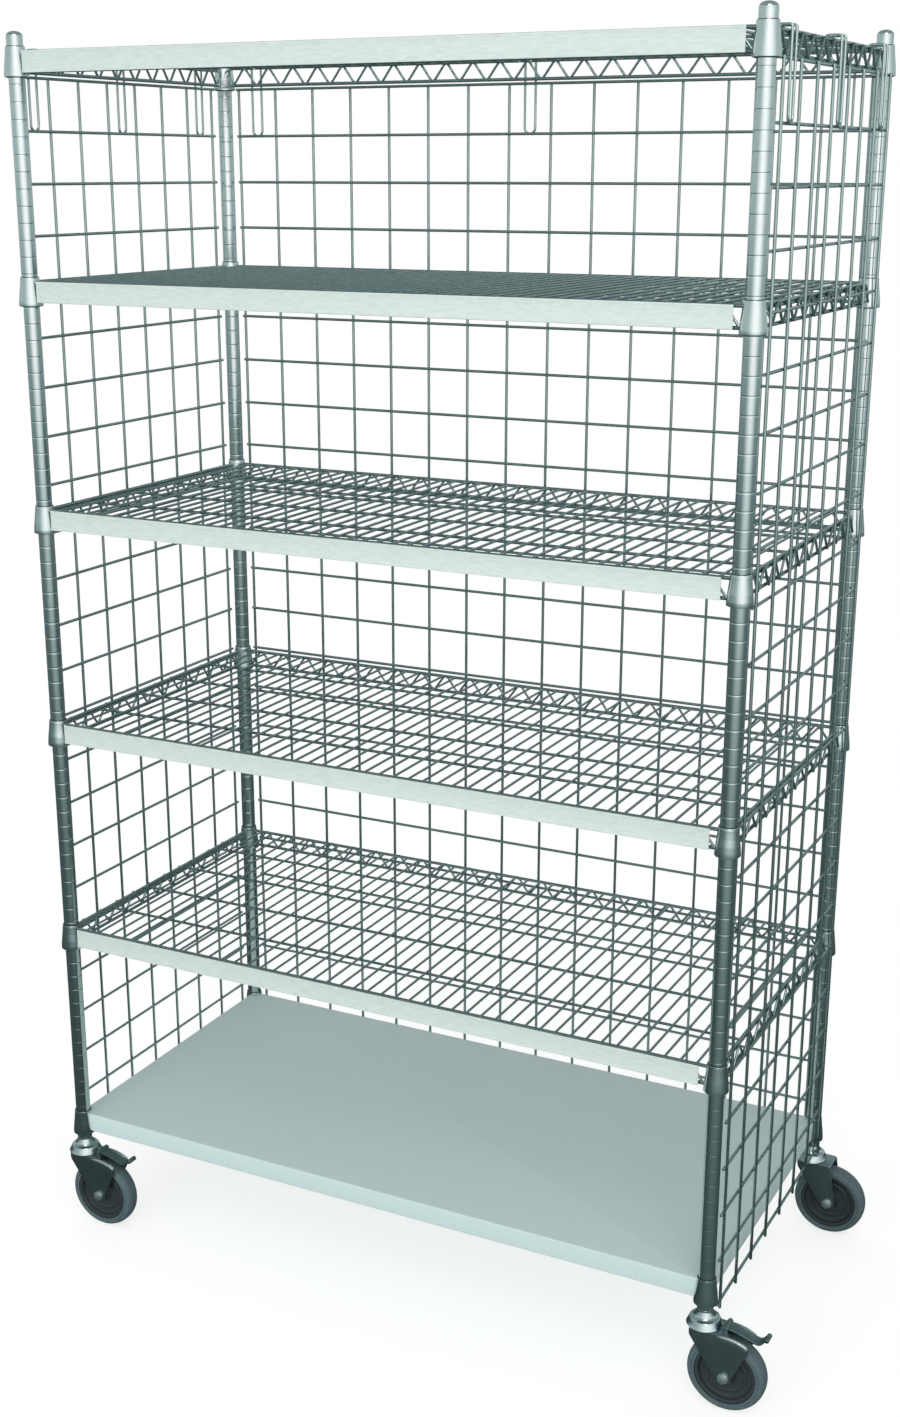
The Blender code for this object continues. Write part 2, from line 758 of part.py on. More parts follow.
def tyre_mesh():
    """Return the tyre, with a crowned tread, about the axle."""
    inside = WHEEL_RADIUS - TYRE_DEPTH
    half = []
    for across, drop in zip(TREAD_WIDTH_SHARES, TREAD_DROP_SHARES):
        half.append((WHEEL_RADIUS - drop * TYRE_DEPTH, across * TYRE_WIDTH / 2))
    upper = list(reversed(half))
    lower = [(radius, -height) for radius, height in half]
    return wheel_round(upper + lower + [(inside, -TYRE_WIDTH / 2), (inside, TYRE_WIDTH / 2)])


def pedal_mesh():
    """Return the brake pedal about its pin: a bent plate, a knuckle and the pin."""
    middle = [(0, 0)]
    for run, fall in zip(PEDAL_RUN_SHARES, PEDAL_FALL_SHARES):
        middle.append((run * PEDAL_REACH, -fall * PEDAL_FALL))
    half = PEDAL_THICKNESS / 2
    upper = [(x, z + half) for x, z in middle]
    lower = [(x, z - half) for x, z in reversed(middle)]
    blade = upright(plate([upper + lower], -PEDAL_WIDTH / 2, PEDAL_WIDTH / 2), 0)
    half_width = PEDAL_WIDTH / 2 - GAP
    knuckle = cone(PEDAL_KNUCKLE_RADIUS, PEDAL_KNUCKLE_RADIUS, -half_width, half_width, PIN_SIDES)
    pin_end = FORK_WIDTH / 2 - LUG_INSET
    pin = cone(PEDAL_PIN_RADIUS, PEDAL_PIN_RADIUS, -pin_end, pin_end, PIN_SIDES)
    steps = [("UNION", crossways(knuckle, 0, 0)), ("UNION", crossways(pin, 0, 0))]
    return combined(blade, steps)


class Cart:
    """The cart's collection, its materials and the empty that carries every piece."""

    def __init__(self):
        self.group = new_collection("wire_shelving_cart")
        self.materials = make_materials()
        self.root = self.empty("cart", (-CENTRE_SHIFT, 0, 0), None)

    def empty(self, name, place, parent):
        """Add an empty to place and carry other pieces."""
        item = bpy.data.objects.new(name, None)
        item.empty_display_size = POST_RADIUS
        item.location = place
        item.parent = parent
        self.group.objects.link(item)
        return item

    def add(self, name, mesh, material, place=(0, 0, 0), turn=0.0, parent=None):
        """Add a named piece with its material, placed under a parent."""
        item = bpy.data.objects.new(name, mesh)
        item.location = place
        item.rotation_euler.z = turn
        item.parent = parent or self.root
        if not mesh.materials:
            mesh.materials.append(self.materials[material])
            mesh.shade_smooth()
            mesh.set_sharp_from_angle(angle=math.radians(SHARP_DEGREES))
        self.group.objects.link(item)
        return item


def add_posts(cart):
    """Add the four posts and their caps."""
    post = post_mesh()
    cap = cap_mesh()
    for corner, (side_x, side_y) in CORNERS.items():
        place = (side_x * POST_SPACING_X / 2, side_y * POST_SPACING_Y / 2, 0)
        cart.add(f"post_{corner}", post, "post", place)
        cart.add(f"cap_{corner}", cap, "cap", place)


def add_shelves(cart):
    """Add the wire shelves with their front strips, from the top down, and the base."""
    shelf = wire_shelf_mesh()
    strip = strip_mesh()
    for number, share in enumerate(LEVEL_SHARES, start=1):
        level = BASE_LEVEL + share * (TOP_LEVEL - BASE_LEVEL)
        cart.add(f"wire_shelf_{number}", shelf, "shelf", (0, 0, level))
        cart.add(f"front_strip_{number}", strip, "strip", (0, 0, level))
    cart.add("base_shelf", base_shelf_mesh(), "base", (0, 0, BASE_LEVEL))


def add_panels(cart):
    """Add the wire panels of the back and both sides."""
    quarter = math.pi / 2
    side = panel_mesh(POST_SPACING_Y)
    cart.add("panel_back", panel_mesh(POST_SPACING_X), "panel", (0, POST_SPACING_Y / 2, 0))
    cart.add("panel_left", side, "panel", (-POST_SPACING_X / 2, 0, 0), quarter)
    cart.add("panel_right", side, "panel", (POST_SPACING_X / 2, 0, 0), -quarter)


def add_casters(cart):
    """Add the four casters, all trailing towards +X, with brakes on the front two."""
    stem = stem_mesh()
    forks = {True: fork_mesh(True), False: fork_mesh(False)}
    axle = axle_mesh()
    core = wheel_core_mesh()
    tyre = tyre_mesh()
    pedal = pedal_mesh()
    for corner, (side_x, side_y) in CORNERS.items():
        place = (side_x * POST_SPACING_X / 2, side_y * POST_SPACING_Y / 2, 0)
        braked = corner in BRAKED
        swivel = cart.empty(f"swivel_{corner}", place, cart.root)
        hub = cart.empty(f"hub_{corner}", (WHEEL_TRAIL, 0, WHEEL_RADIUS), swivel)
        cart.add(f"caster_stem_{corner}", stem, "stem", place)
        cart.add(f"caster_fork_{corner}", forks[braked], "fork", parent=swivel)
        cart.add(f"axle_{corner}", axle, "axle", parent=hub)
        cart.add(f"wheel_core_{corner}", core, "core", parent=hub)
        cart.add(f"tyre_{corner}", tyre, "tyre", parent=hub)
        if braked:
            pin = (PEDAL_PIVOT_X, 0, PEDAL_HEIGHT)
            cart.add(f"brake_pedal_{corner}", pedal, "pedal", pin, parent=swivel)


def main():
    """Build the whole cart."""
    clear_scene()
    cart = Cart()
    add_posts(cart)
    add_shelves(cart)
    add_panels(cart)
    add_casters(cart)


main()
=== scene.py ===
# %% [markdown]
# This scene dresses a wire shelving cart: four plated tube posts on swivel casters, five
# wire shelves, a solid base shelf, and wire panels on the back and both sides. The model
# that it loads holds every piece at its real size and place. Each cell below takes one
# piece or one finish, and gives it the surface that the real one has.

# %% Load the model
import json
import math

import bmesh
import bpy
from mathutils import Matrix, Vector


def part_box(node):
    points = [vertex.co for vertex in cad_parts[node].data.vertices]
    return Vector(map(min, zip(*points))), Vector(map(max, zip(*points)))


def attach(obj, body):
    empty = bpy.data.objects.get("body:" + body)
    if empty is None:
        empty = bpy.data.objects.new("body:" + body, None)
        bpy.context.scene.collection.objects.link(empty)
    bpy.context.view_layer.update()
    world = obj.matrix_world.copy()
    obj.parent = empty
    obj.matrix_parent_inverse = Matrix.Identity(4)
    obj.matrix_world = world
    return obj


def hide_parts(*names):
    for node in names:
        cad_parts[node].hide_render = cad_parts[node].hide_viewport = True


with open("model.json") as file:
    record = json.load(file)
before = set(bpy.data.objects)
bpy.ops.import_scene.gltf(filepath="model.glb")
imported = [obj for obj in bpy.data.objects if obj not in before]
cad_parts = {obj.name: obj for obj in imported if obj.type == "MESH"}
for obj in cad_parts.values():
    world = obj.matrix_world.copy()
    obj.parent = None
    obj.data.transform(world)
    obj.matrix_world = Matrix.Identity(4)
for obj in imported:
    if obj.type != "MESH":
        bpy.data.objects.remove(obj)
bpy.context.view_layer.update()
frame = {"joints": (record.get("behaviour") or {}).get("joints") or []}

MM = 0.001

# %% [markdown]
# Places come from the loaded model and aren't typed again, so the dressed pieces cannot
# drift away from the solids that they stand for. The posts give the plan of the cart, the
# shelves give its levels, and the joints give the casters.

# %% Read the cart's plan from the model
CORNERS = ("front_left", "front_right", "back_left", "back_right")
BRAKED_CORNERS = ("front_left", "front_right")
SHELF_NUMBERS = (1, 2, 3, 4, 5)


def node_middle(node):
    """Return the middle of a node's box."""
    low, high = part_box(node)
    return (low + high) / 2


def node_size(node):
    """Return the size of a node's box."""
    low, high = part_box(node)
    return high - low


posts = {corner: node_middle(f"post_{corner}") for corner in CORNERS}
shelf_levels = {number: node_middle(f"wire_shelf_{number}").z for number in SHELF_NUMBERS}
base_level = node_middle("base_shelf").z
joints = {joint["name"]: Vector(joint["pos_m"]) for joint in frame["joints"]}
HALF_LENGTH = (posts["front_right"].x - posts["front_left"].x) / 2
HALF_DEPTH = (posts["back_left"].y - posts["front_left"].y) / 2
PLAN_MIDDLE = Vector(((posts["front_right"].x + posts["front_left"].x) / 2, 0, 0))
POST_RADIUS = node_size("post_front_left").x / 2
post_feet = {corner: Vector((place.x, place.y, 0)) for corner, place in posts.items()}
print("post spacing in mm:", round(2 * HALF_LENGTH / MM, 1), round(2 * HALF_DEPTH / MM, 1))
print("shelf levels in m:", [round(level, 3) for level in shelf_levels.values()])

# %% [markdown]
# Colours are written as sRGB hex, the way a swatch book or a screen gives them. Shaders
# work on linear light, so one function turns the one into the other. A second function
# adds a shader node, because every material below is a small graph of nodes. Two more
# start a material and press a fine grain into it, which every finish on the cart has: the
# grain is a noise of a real size, and it changes the relief and the polish together.

# %% Colour and node helpers
# A noise seldom leaves the range between these two values.
NOISE_LOW = 0.3
NOISE_HIGH = 0.7


def linear(code):
    """Turn an sRGB hex colour into the linear values that shaders take."""
    values = []
    for start in (1, 3, 5):
        part = int(code[start:start + 2], 16) / 255
        values.append(part / 12.92 if part <= 0.04045 else ((part + 0.055) / 1.055) ** 2.4)
    return (*values, 1.0)


def add_node(tree, kind, settings, inputs):
    """Add a node, set its fields, and give each input a value or another node's socket."""
    node = tree.nodes.new(kind)
    for name, value in settings.items():
        setattr(node, name, value)
    for key, value in inputs.items():
        if isinstance(value, bpy.types.NodeSocket):
            tree.links.new(value, node.inputs[key])
        else:
            node.inputs[key].default_value = value
    return node


def new_surface(name, metallic, roughness):
    """Make a material with a Principled shader, and return it with its node tree."""
    surface = bpy.data.materials.new(name)
    surface.use_nodes = True
    shader = surface.node_tree.nodes["Principled BSDF"]
    shader.inputs["Metallic"].default_value = metallic
    shader.inputs["Roughness"].default_value = roughness
    return surface, surface.node_tree, shader


def press_grain(tree, shader, place, size_mm, depth_mm, stretch, detail, strength, polish):
    """Press a noise into a surface, and return its share from 0 to 1. Polish is two roughnesses."""
    stretched = add_node(tree, "ShaderNodeVectorMath", {"operation": "MULTIPLY"},
                         {0: place, 1: stretch})
    grain = add_node(tree, "ShaderNodeTexNoise", {},
                     {"Vector": stretched.outputs["Vector"], "Scale": 1 / (size_mm * MM),
                      "Detail": detail})
    share = add_node(tree, "ShaderNodeMapRange", {},
                     {"Value": grain.outputs["Fac"], "From Min": NOISE_LOW, "From Max": NOISE_HIGH})
    rough = add_node(tree, "ShaderNodeMapRange", {},
                     {"Value": share.outputs["Result"], "To Min": polish[0], "To Max": polish[1]})
    tree.links.new(rough.outputs["Result"], shader.inputs["Roughness"])
    relief = add_node(tree, "ShaderNodeBump", {},
                      {"Strength": strength, "Distance": depth_mm * MM, "Height": grain.outputs["Fac"]})
    tree.links.new(relief.outputs["Normal"], shader.inputs["Normal"])
    return share.outputs["Result"]


print("linear value of mid grey:", round(linear("#808080")[0], 3))

# %% [markdown]
# Most of the cart is steel with a bright plated finish over drawn wire, tube or pressed
# sheet. Plating is never one flat colour: it clouds over patches of a few centimetres
# where the bath ran thicker, and it carries hairline marks from the drawing die. Its colour
# is also painted darker towards the floor, as painted shade for the dark ground that low
# pieces mirror in place of lamps.
# One function lays down those three effects, and each finish calls it with its own
# colours and sizes. Steel's metallic value is 1, and bright plating is about 0.2 rough.

# %% Plated steel
CLOUD_MM = 35.0
# Between these heights in metres the colour is painted darker downwards: painted shade for the dark ground
# that low pieces mirror.
PAINTED_SHADE_LOW = 0.10
PAINTED_SHADE_HIGH = 2.00


def plated_steel(name, painted_shade_floor_colour, top_colour, cloud_share, roughness, grain_mm, grain_depth_mm,
                 stretch=(1.0, 1.0, 1.0)):
    """Make a plated steel: a colour painted darker near the floor as painted shade, one at the top, clouds
    and a grain.
    """
    surface, tree, shader = new_surface(name, metallic=1.0, roughness=roughness)
    place = add_node(tree, "ShaderNodeTexCoord", {}, {}).outputs["Object"]
    height = add_node(tree, "ShaderNodeSeparateXYZ", {}, {"Vector": place}).outputs["Z"]
    # Painted shade: the colour runs from the darker one at the floor up to the top one with height.
    rise = add_node(tree, "ShaderNodeMapRange", {"interpolation_type": "SMOOTHSTEP"},
                    {"Value": height, "From Min": PAINTED_SHADE_LOW, "From Max": PAINTED_SHADE_HIGH})
    colour = add_node(tree, "ShaderNodeMix", {"data_type": "RGBA"},
                      {0: rise.outputs["Result"], 6: linear(painted_shade_floor_colour), 7: linear(top_colour)})
    cloud = add_node(tree, "ShaderNodeTexNoise", {},
                     {"Vector": place, "Scale": 1 / (CLOUD_MM * MM), "Detail": 3.0})
    cloud_level = add_node(tree, "ShaderNodeMapRange", {},
                           {"Value": cloud.outputs["Fac"], "From Min": NOISE_LOW,
                            "From Max": NOISE_HIGH, "To Min": 1 - cloud_share,
                            "To Max": 1 + cloud_share})
    clouded = add_node(tree, "ShaderNodeVectorMath", {"operation": "SCALE"},
                       {0: colour.outputs[2], "Scale": cloud_level.outputs["Result"]})
    tree.links.new(clouded.outputs["Vector"], shader.inputs["Base Color"])
    press_grain(tree, shader, place, grain_mm, grain_depth_mm, stretch, detail=2.0, strength=0.5,
                polish=(roughness * 0.8, roughness * 1.25))
    return surface


# Bright nickel and chrome plate over polished tube. To the eye it is a mirror with one soft
# streak down its length, and its fine polishing marks run round the tube.
post_chrome = plated_steel("chrome_plated_tube", "#C9D6D4", "#E6EFEE", 0.03, 0.15, 6.0, 0.01,
                           stretch=(0.2, 0.2, 6.0))

# The same plate over drawn wire, its colour painted darker than the tube's as painted shade, so thin wires
# read as a mid grey-green.
shelf_chrome_painted_shade = plated_steel("chrome_plated_shelf_wire", "#A1B2B0", "#A9BAB8", 0.10, 0.24, 2.0, 0.03)
panel_chrome_painted_shade = plated_steel("chrome_plated_panel_wire", "#A3B5B2", "#B6C6C3", 0.10, 0.26, 2.0, 0.03)

# The hooks are the same plated wire, painted lighter than their panel as a painted highlight, so they
# stand out from it.
hook_chrome_painted_highlight = plated_steel("chrome_plated_hook_wire", "#C4D6D1", "#CFE0DB", 0.06, 0.30, 2.0, 0.02)

# Zinc over turned and pressed steel: bright where it is polished, duller on the fork.
head_zinc = plated_steel("zinc_plated_turned_head", "#D6E2E2", "#DCE7E7", 0.06, 0.20, 4.0, 0.02,
                         stretch=(0.3, 0.3, 5.0))
fork_zinc = plated_steel("dull_zinc_plated_fork", "#A3B0B3", "#ADB9BB", 0.10, 0.34, 2.5, 0.04)
# The fork's rolled rims and the axle bolts are the same zinc painted lighter than the fork: a painted
# highlight along the arch and on the bolt heads.
rim_zinc_painted_highlight = plated_steel("painted_highlight_zinc_fork_rim", "#DDE8E7", "#E2ECEB", 0.05, 0.5, 2.5, 0.02)
bolt_zinc_painted_highlight = plated_steel("zinc_plated_bolt", "#DDE8E7", "#E2ECEB", 0.05, 0.5, 1.5, 0.02)
pedal_zinc = plated_steel("dull_zinc_plated_pedal", "#8A9A9B", "#94A3A4", 0.10, 0.36, 2.5, 0.04)
print("plated finishes:", [item.name for item in bpy.data.materials if "zinc" in item.name
                           or "chrome" in item.name])

# %% [markdown]
# The rest is plastic, rubber and paint. The front strips are extruded vinyl, pale and satin,
# with faint lines along their length from the die. The split sleeves are black moulded
# nylon, and the wheel cores grey moulded nylon, which both show a fine spark-eroded
# texture. The tyres are soft grey rubber: rougher, and slightly speckled with floor dust.
# The base shelf is sheet under a pale powder coat, whose skin is dimpled like an orange's.
# All of them keep metallic at 0, with an index of about 1.5.

# %% Plastic, rubber and powder coat


def moulded(name, dark_colour, light_colour, roughness, index, grain_mm, grain_depth_mm,
            stretch=(1.0, 1.0, 1.0)):
    """Make a moulded or coated surface: two close colours, mixed and embossed by a grain."""
    surface, tree, shader = new_surface(name, metallic=0.0, roughness=roughness)
    shader.inputs["IOR"].default_value = index
    place = add_node(tree, "ShaderNodeTexCoord", {}, {}).outputs["Object"]
    share = press_grain(tree, shader, place, grain_mm, grain_depth_mm, stretch, detail=4.0,
                        strength=0.6, polish=(roughness * 0.9, roughness * 1.15))
    colour = add_node(tree, "ShaderNodeMix", {"data_type": "RGBA"},
                      {0: share, 6: linear(dark_colour), 7: linear(light_colour)})
    tree.links.new(colour.outputs[2], shader.inputs["Base Color"])
    return surface


strip_vinyl = moulded("pale_extruded_vinyl", "#CDDAD5", "#DAE6E1", 0.38, 1.53, 7.0, 0.04,
                      stretch=(0.4, 2.0, 2.0))
sleeve_nylon = moulded("black_moulded_nylon", "#121616", "#1D2322", 0.45, 1.53, 1.2, 0.05)
core_nylon = moulded("grey_moulded_nylon", "#2A3538", "#39454A", 0.42, 1.53, 1.5, 0.06)
tyre_rubber = moulded("grey_soft_rubber", "#4C5F62", "#607477", 0.55, 1.52, 2.2, 0.10)
base_coat = moulded("pale_powder_coated_sheet", "#CADFDE", "#D2E7E6", 0.42, 1.50, 2.4, 0.05)
print("moulded and coated finishes:", strip_vinyl.name, sleeve_nylon.name, core_nylon.name,
      tyre_rubber.name, base_coat.name)

# %% [markdown]
# Three kinds of shape make up nearly the whole cart. A wire is a curve with a round bevel,
# and one curve object holds many wires, each with its own thickness at each point, so that
# a cut end can be eased. A turned part is a profile spun about Z. A spin numbers its
# corners in no fixed order, so they are sorted after it, and each run gives the same mesh.
# A pressed part is a flat outline with thickness and a small rolled edge. Outlines are
# rounded first, because no moulded or pressed part has a perfectly sharp corner, and sharp
# corners catch no light.

# %% Shape helpers
WELD = 1e-6
SHARP_ANGLE = math.radians(40)
WIRE_TIP_SHARE = 0.7


def scratch_object(data):
    """Put data in the scene for a moment, so that it can be evaluated."""
    item = bpy.data.objects.new("scratch", data)
    bpy.context.scene.collection.objects.link(item)
    return item


def baked(item):
    """Return an object's evaluated mesh with its seams welded, and remove the object."""
    bpy.context.view_layer.update()
    graph = bpy.context.evaluated_depsgraph_get()
    mesh = bpy.data.meshes.new_from_object(item.evaluated_get(graph))
    work = bmesh.new()
    work.from_mesh(mesh)
    bmesh.ops.remove_doubles(work, verts=work.verts, dist=WELD)
    work.to_mesh(mesh)
    work.free()
    bpy.data.objects.remove(item)
    return mesh


def mesh_of(work, name):
    """Turn a bmesh into a mesh with a name, and free it."""
    mesh = bpy.data.meshes.new(name)
    work.to_mesh(mesh)
    work.free()
    return mesh


def round_wires(runs, resolution=3):
    """Return round wires as one mesh. A run is a list of (point, radius) along a wire."""
    curve = bpy.data.curves.new("wires", "CURVE")
    curve.dimensions = "3D"
    curve.bevel_depth = 1.0
    curve.bevel_resolution = resolution
    curve.use_fill_caps = True
    for run in runs:
        spline = curve.splines.new("POLY")
        spline.points.add(len(run) - 1)
        for spot, (place, radius) in zip(spline.points, run):
            spot.co = (*place, 1)
            spot.radius = radius
    return baked(scratch_object(curve))


def straight_wire(start, end, radius):
    """Return the run of a straight wire, its cut ends eased by a third of its radius."""
    start = Vector(start)
    end = Vector(end)
    ease = (end - start).normalized() * radius / 3
    tip = radius * WIRE_TIP_SHARE
    return [(start, tip), (start + ease, radius), (end - ease, radius), (end, tip)]


def softened(corners, radius, steps=3, closed=True):
    """Return an outline with each corner turned into a small curve."""
    points = []
    count = len(corners)
    for index, corner in enumerate(corners):
        if not closed and index in (0, count - 1):
            points.append(tuple(corner))
            continue
        here = Vector(corner)
        before = Vector(corners[index - 1]) - here
        after = Vector(corners[(index + 1) % count]) - here
        reach = min(radius, 0.45 * before.length, 0.45 * after.length)
        start = here + before.normalized() * reach
        end = here + after.normalized() * reach
        for step in range(steps + 1):
            share = step / steps
            spot = start * (1 - share) ** 2 + here * 2 * share * (1 - share) + end * share ** 2
            points.append(tuple(spot))
    return points


def smooth_line(points, steps):
    """Return a smooth line through points, each stretch shaped by its neighbours."""
    spots = [Vector(point) for point in points]
    spots = [2 * spots[0] - spots[1], *spots, 2 * spots[-1] - spots[-2]]
    line = []
    for index in range(1, len(spots) - 2):
        before, start, end, after = spots[index - 1:index + 3]
        for step in range(steps):
            share = step / steps
            line.append((2 * start + (end - before) * share
                         + (2 * before - 5 * start + 4 * end - after) * share ** 2
                         + (3 * start - before - 3 * end + after) * share ** 3) / 2)
    line.append(spots[-2])
    return line


def in_order(parts, key):
    """Put a bmesh's corners or faces in the order of a key."""
    for index, part in enumerate(sorted(parts, key=key)):
        part.index = index
    parts.sort()


def turned(profile, sides=48, closed=True, angle=math.tau):
    """Spin a profile of (radius, height) points about Z, and close what is left open."""
    work = bmesh.new()
    ring = [work.verts.new((radius, 0, height)) for radius, height in profile]
    edges = [work.edges.new(pair) for pair in zip(ring, ring[1:])]
    if closed:
        edges.append(work.edges.new((ring[-1], ring[0])))
    bmesh.ops.spin(work, geom=ring + edges, cent=(0, 0, 0), axis=(0, 0, 1), angle=angle, steps=sides)
    in_order(work.verts, key=lambda corner: tuple(corner.co))
    bmesh.ops.remove_doubles(work, verts=work.verts, dist=WELD)
    bmesh.ops.holes_fill(work, edges=work.edges)
    bmesh.ops.recalc_face_normals(work, faces=work.faces)
    in_order(work.verts, key=lambda corner: tuple(corner.co))
    in_order(work.faces, key=lambda face: sorted(corner.index for corner in face.verts))
    return mesh_of(work, "turned")


def cylinder(radius, low, high, sides):
    """Return a plain cylinder about Z between two heights, closed at both ends."""
    return turned([(0, low), (radius, low), (radius, high), (0, high)], sides, closed=False)


def pressed(outline, half_thickness, edge, holes=()):
    """Return a plate about z = 0 from an outline, with its edges rolled by a small radius."""
    curve = bpy.data.curves.new("pressed", "CURVE")
    curve.dimensions = "2D"
    curve.fill_mode = "BOTH"
    curve.extrude = half_thickness - edge
    curve.bevel_depth = edge
    curve.bevel_resolution = 2
    curve.offset = -edge
    for loop in (outline, *holes):
        spline = curve.splines.new("POLY")
        spline.points.add(len(loop) - 1)
        for spot, (x, y) in zip(spline.points, loop):
            spot.co = (x, y, 0, 1)
        spline.use_cyclic_u = True
    return baked(scratch_object(curve))


def cut(mesh, *cutters):
    """Cut other meshes out of a mesh."""
    body = scratch_object(mesh)
    tools = [scratch_object(cutter) for cutter in cutters]
    for tool in tools:
        step = body.modifiers.new("cut", "BOOLEAN")
        step.operation = "DIFFERENCE"
        step.solver = "EXACT"
        step.object = tool
    result = baked(body)
    for tool in tools:
        bpy.data.objects.remove(tool)
    return result


def shifted(mesh, matrix):
    """Return a copy of a mesh moved by a matrix."""
    copy = mesh.copy()
    copy.transform(matrix)
    return copy


def together(meshes):
    """Return several meshes as one."""
    work = bmesh.new()
    for mesh in meshes:
        work.from_mesh(mesh)
    return mesh_of(work, "group")


def at_posts(mesh):
    """Return four copies of a mesh as one, at the posts of a shelf whose middle is at zero."""
    return together([shifted(mesh, Matrix.Translation(foot - PLAN_MIDDLE)) for foot in post_feet.values()])


def upright_plate(mesh):
    """Turn a plate's outline from the level plane to face along Y."""
    mesh.transform(Matrix.Rotation(math.pi / 2, 4, "X"))
    return mesh


sample = turned(softened([(5 * MM, 0), (9 * MM, 0), (9 * MM, 4 * MM), (5 * MM, 4 * MM)], MM))
print("a softened ring has", len(sample.polygons), "faces")
bpy.data.meshes.remove(sample)

# %% [markdown]
# A finished piece rides on one body of the model and stands for one or more of its nodes,
# which are then hidden. Pieces of the fixed frame are placed inside their mesh, so that
# their patterns and the painted shade by height read the same place as the rest of the cart.
# Wheels and forks keep an origin of their own, because they turn.

# %% Put a finished piece on the cart


def finish_piece(name, mesh, surface, body, stands_for=(), origin=(0, 0, 0)):
    """Add a piece with its surface, let it ride on a body, and hide what it stands for."""
    mesh = mesh if mesh.users == 0 else mesh.copy()
    mesh.name = name
    mesh.materials.clear()
    mesh.materials.append(surface)
    mesh.shade_smooth()
    mesh.set_sharp_from_angle(angle=SHARP_ANGLE)
    piece = bpy.data.objects.new(name, mesh)
    piece.location = origin
    bpy.context.scene.collection.objects.link(piece)
    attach(piece, body)
    if stands_for:
        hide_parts(*stands_for)


# %% [markdown]
# Each post is one-inch tube with shallow grooves rolled into it every 25.4 mm. A split
# sleeve clips into a groove, and that is how a shelf is set at its height. The grooves are
# real geometry here, because they catch a row of small lights all the way up the tube. A
# lathe profile is the plain way to draw them: walk up the outside, dip at each groove,
# and come back down the bore. A point a little before and after each dip keeps the smooth
# shading of the groove from spreading along the straight tube.

# %% Grooved posts and their caps
GROOVE_PITCH = 25.4 * MM
GROOVE_HALF_WIDTH = 0.8 * MM
GROOVE_SHOULDER = 0.5 * MM
GROOVE_DEPTH = 0.2 * MM
GROOVE_GUARD = 0.4 * MM
TUBE_WALL = 1.6 * MM
CAP_RIM = 1.6 * MM
CAP_STEPS = 8
FIT_GAP = 0.3 * MM


def post_profile(low, high):
    """Return the profile of a grooved tube between two heights."""
    profile = [(POST_RADIUS, low)]
    groove = low + GROOVE_PITCH / 2
    while groove < high - GROOVE_PITCH / 3:
        shoulder = GROOVE_HALF_WIDTH + GROOVE_SHOULDER
        guard = shoulder + GROOVE_GUARD
        for offset, depth in ((-guard, 0), (-shoulder, 0), (-GROOVE_HALF_WIDTH, 1), (GROOVE_HALF_WIDTH, 1),
                              (shoulder, 0), (guard, 0)):
            profile.append((POST_RADIUS - depth * GROOVE_DEPTH, groove + offset))
        groove += GROOVE_PITCH
    profile += [(POST_RADIUS, high), (POST_RADIUS - TUBE_WALL, high), (POST_RADIUS - TUBE_WALL, low)]
    return profile


def cap_profile(low, high, plug_depth):
    """Return the profile of a domed cap with a short rim, from its crown to its plug."""
    dome = high - low - CAP_RIM
    profile = []
    for step in range(CAP_STEPS + 1):
        angle = math.pi / 2 * step / CAP_STEPS
        profile.append((POST_RADIUS * math.sin(angle), low + CAP_RIM + dome * math.cos(angle)))
    plug = POST_RADIUS - TUBE_WALL - FIT_GAP
    profile += [(POST_RADIUS, low), (plug, low), (plug, low - plug_depth), (0, low - plug_depth)]
    return profile


post_low, post_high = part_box("post_front_left")
cap_low, cap_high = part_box("cap_front_left")
post_mesh = turned(post_profile(post_low.z, post_high.z), sides=40)
cap_mesh = turned(cap_profile(post_high.z + FIT_GAP, cap_high.z, post_high.z - cap_low.z), closed=False)
for corner, foot in post_feet.items():
    spot = Matrix.Translation(foot)
    finish_piece(f"grooved_post_{corner}", shifted(post_mesh, spot), post_chrome, "frame",
                 [f"post_{corner}"])
    finish_piece(f"domed_cap_{corner}", shifted(cap_mesh, spot), post_chrome, "frame",
                 [f"cap_{corner}"])
print("faces in a post:", len(post_mesh.polygons), "and in a cap:", len(cap_mesh.polygons))

# %% [markdown]
# A shelf's corner is a steel collar, wider at the bottom, that slides down over a tapered
# sleeve and wedges itself tight under load. It is drawn from tube and flared like a bell,
# so its top all but meets the post. The sleeve is black nylon in two halves, and only a
# thin dark line of it shows above and below the collar. A shelf's four collars are one
# piece, as brightly plated as the posts, and every sleeve half is a piece of its own.

# %% Collars and split sleeves
COLLAR_TOP = 14.8 * MM
COLLAR_BOTTOM = 19.0 * MM
COLLAR_TOP_BORE = 13.7 * MM
COLLAR_BOTTOM_BORE = 16.2 * MM
# Shares of the flare and of the half height, from the bottom of the bell to its top.
COLLAR_FLARE = ((1.0, -1.0), (0.94, -0.7), (0.72, -0.25), (0.38, 0.25), (0.12, 0.7), (0.0, 1.0))
COLLAR_HALF = node_size("wire_shelf_1").z / 2
COLLAR_EDGE = 0.9 * MM
SLEEVE_SHOW = 0.8 * MM
SLEEVE_EDGE = 0.4 * MM
SLEEVE_GAP = 0.15 * MM
SLEEVE_SPLIT_ANGLE = math.radians(6)


def collar_mesh():
    """Return one collar about the post's axis, its middle height at zero."""
    corners = [(COLLAR_TOP + share * (COLLAR_BOTTOM - COLLAR_TOP), height * COLLAR_HALF)
               for share, height in COLLAR_FLARE]
    corners += [(COLLAR_TOP_BORE, COLLAR_HALF), (COLLAR_BOTTOM_BORE, -COLLAR_HALF)]
    return turned(softened(corners, COLLAR_EDGE), sides=48)


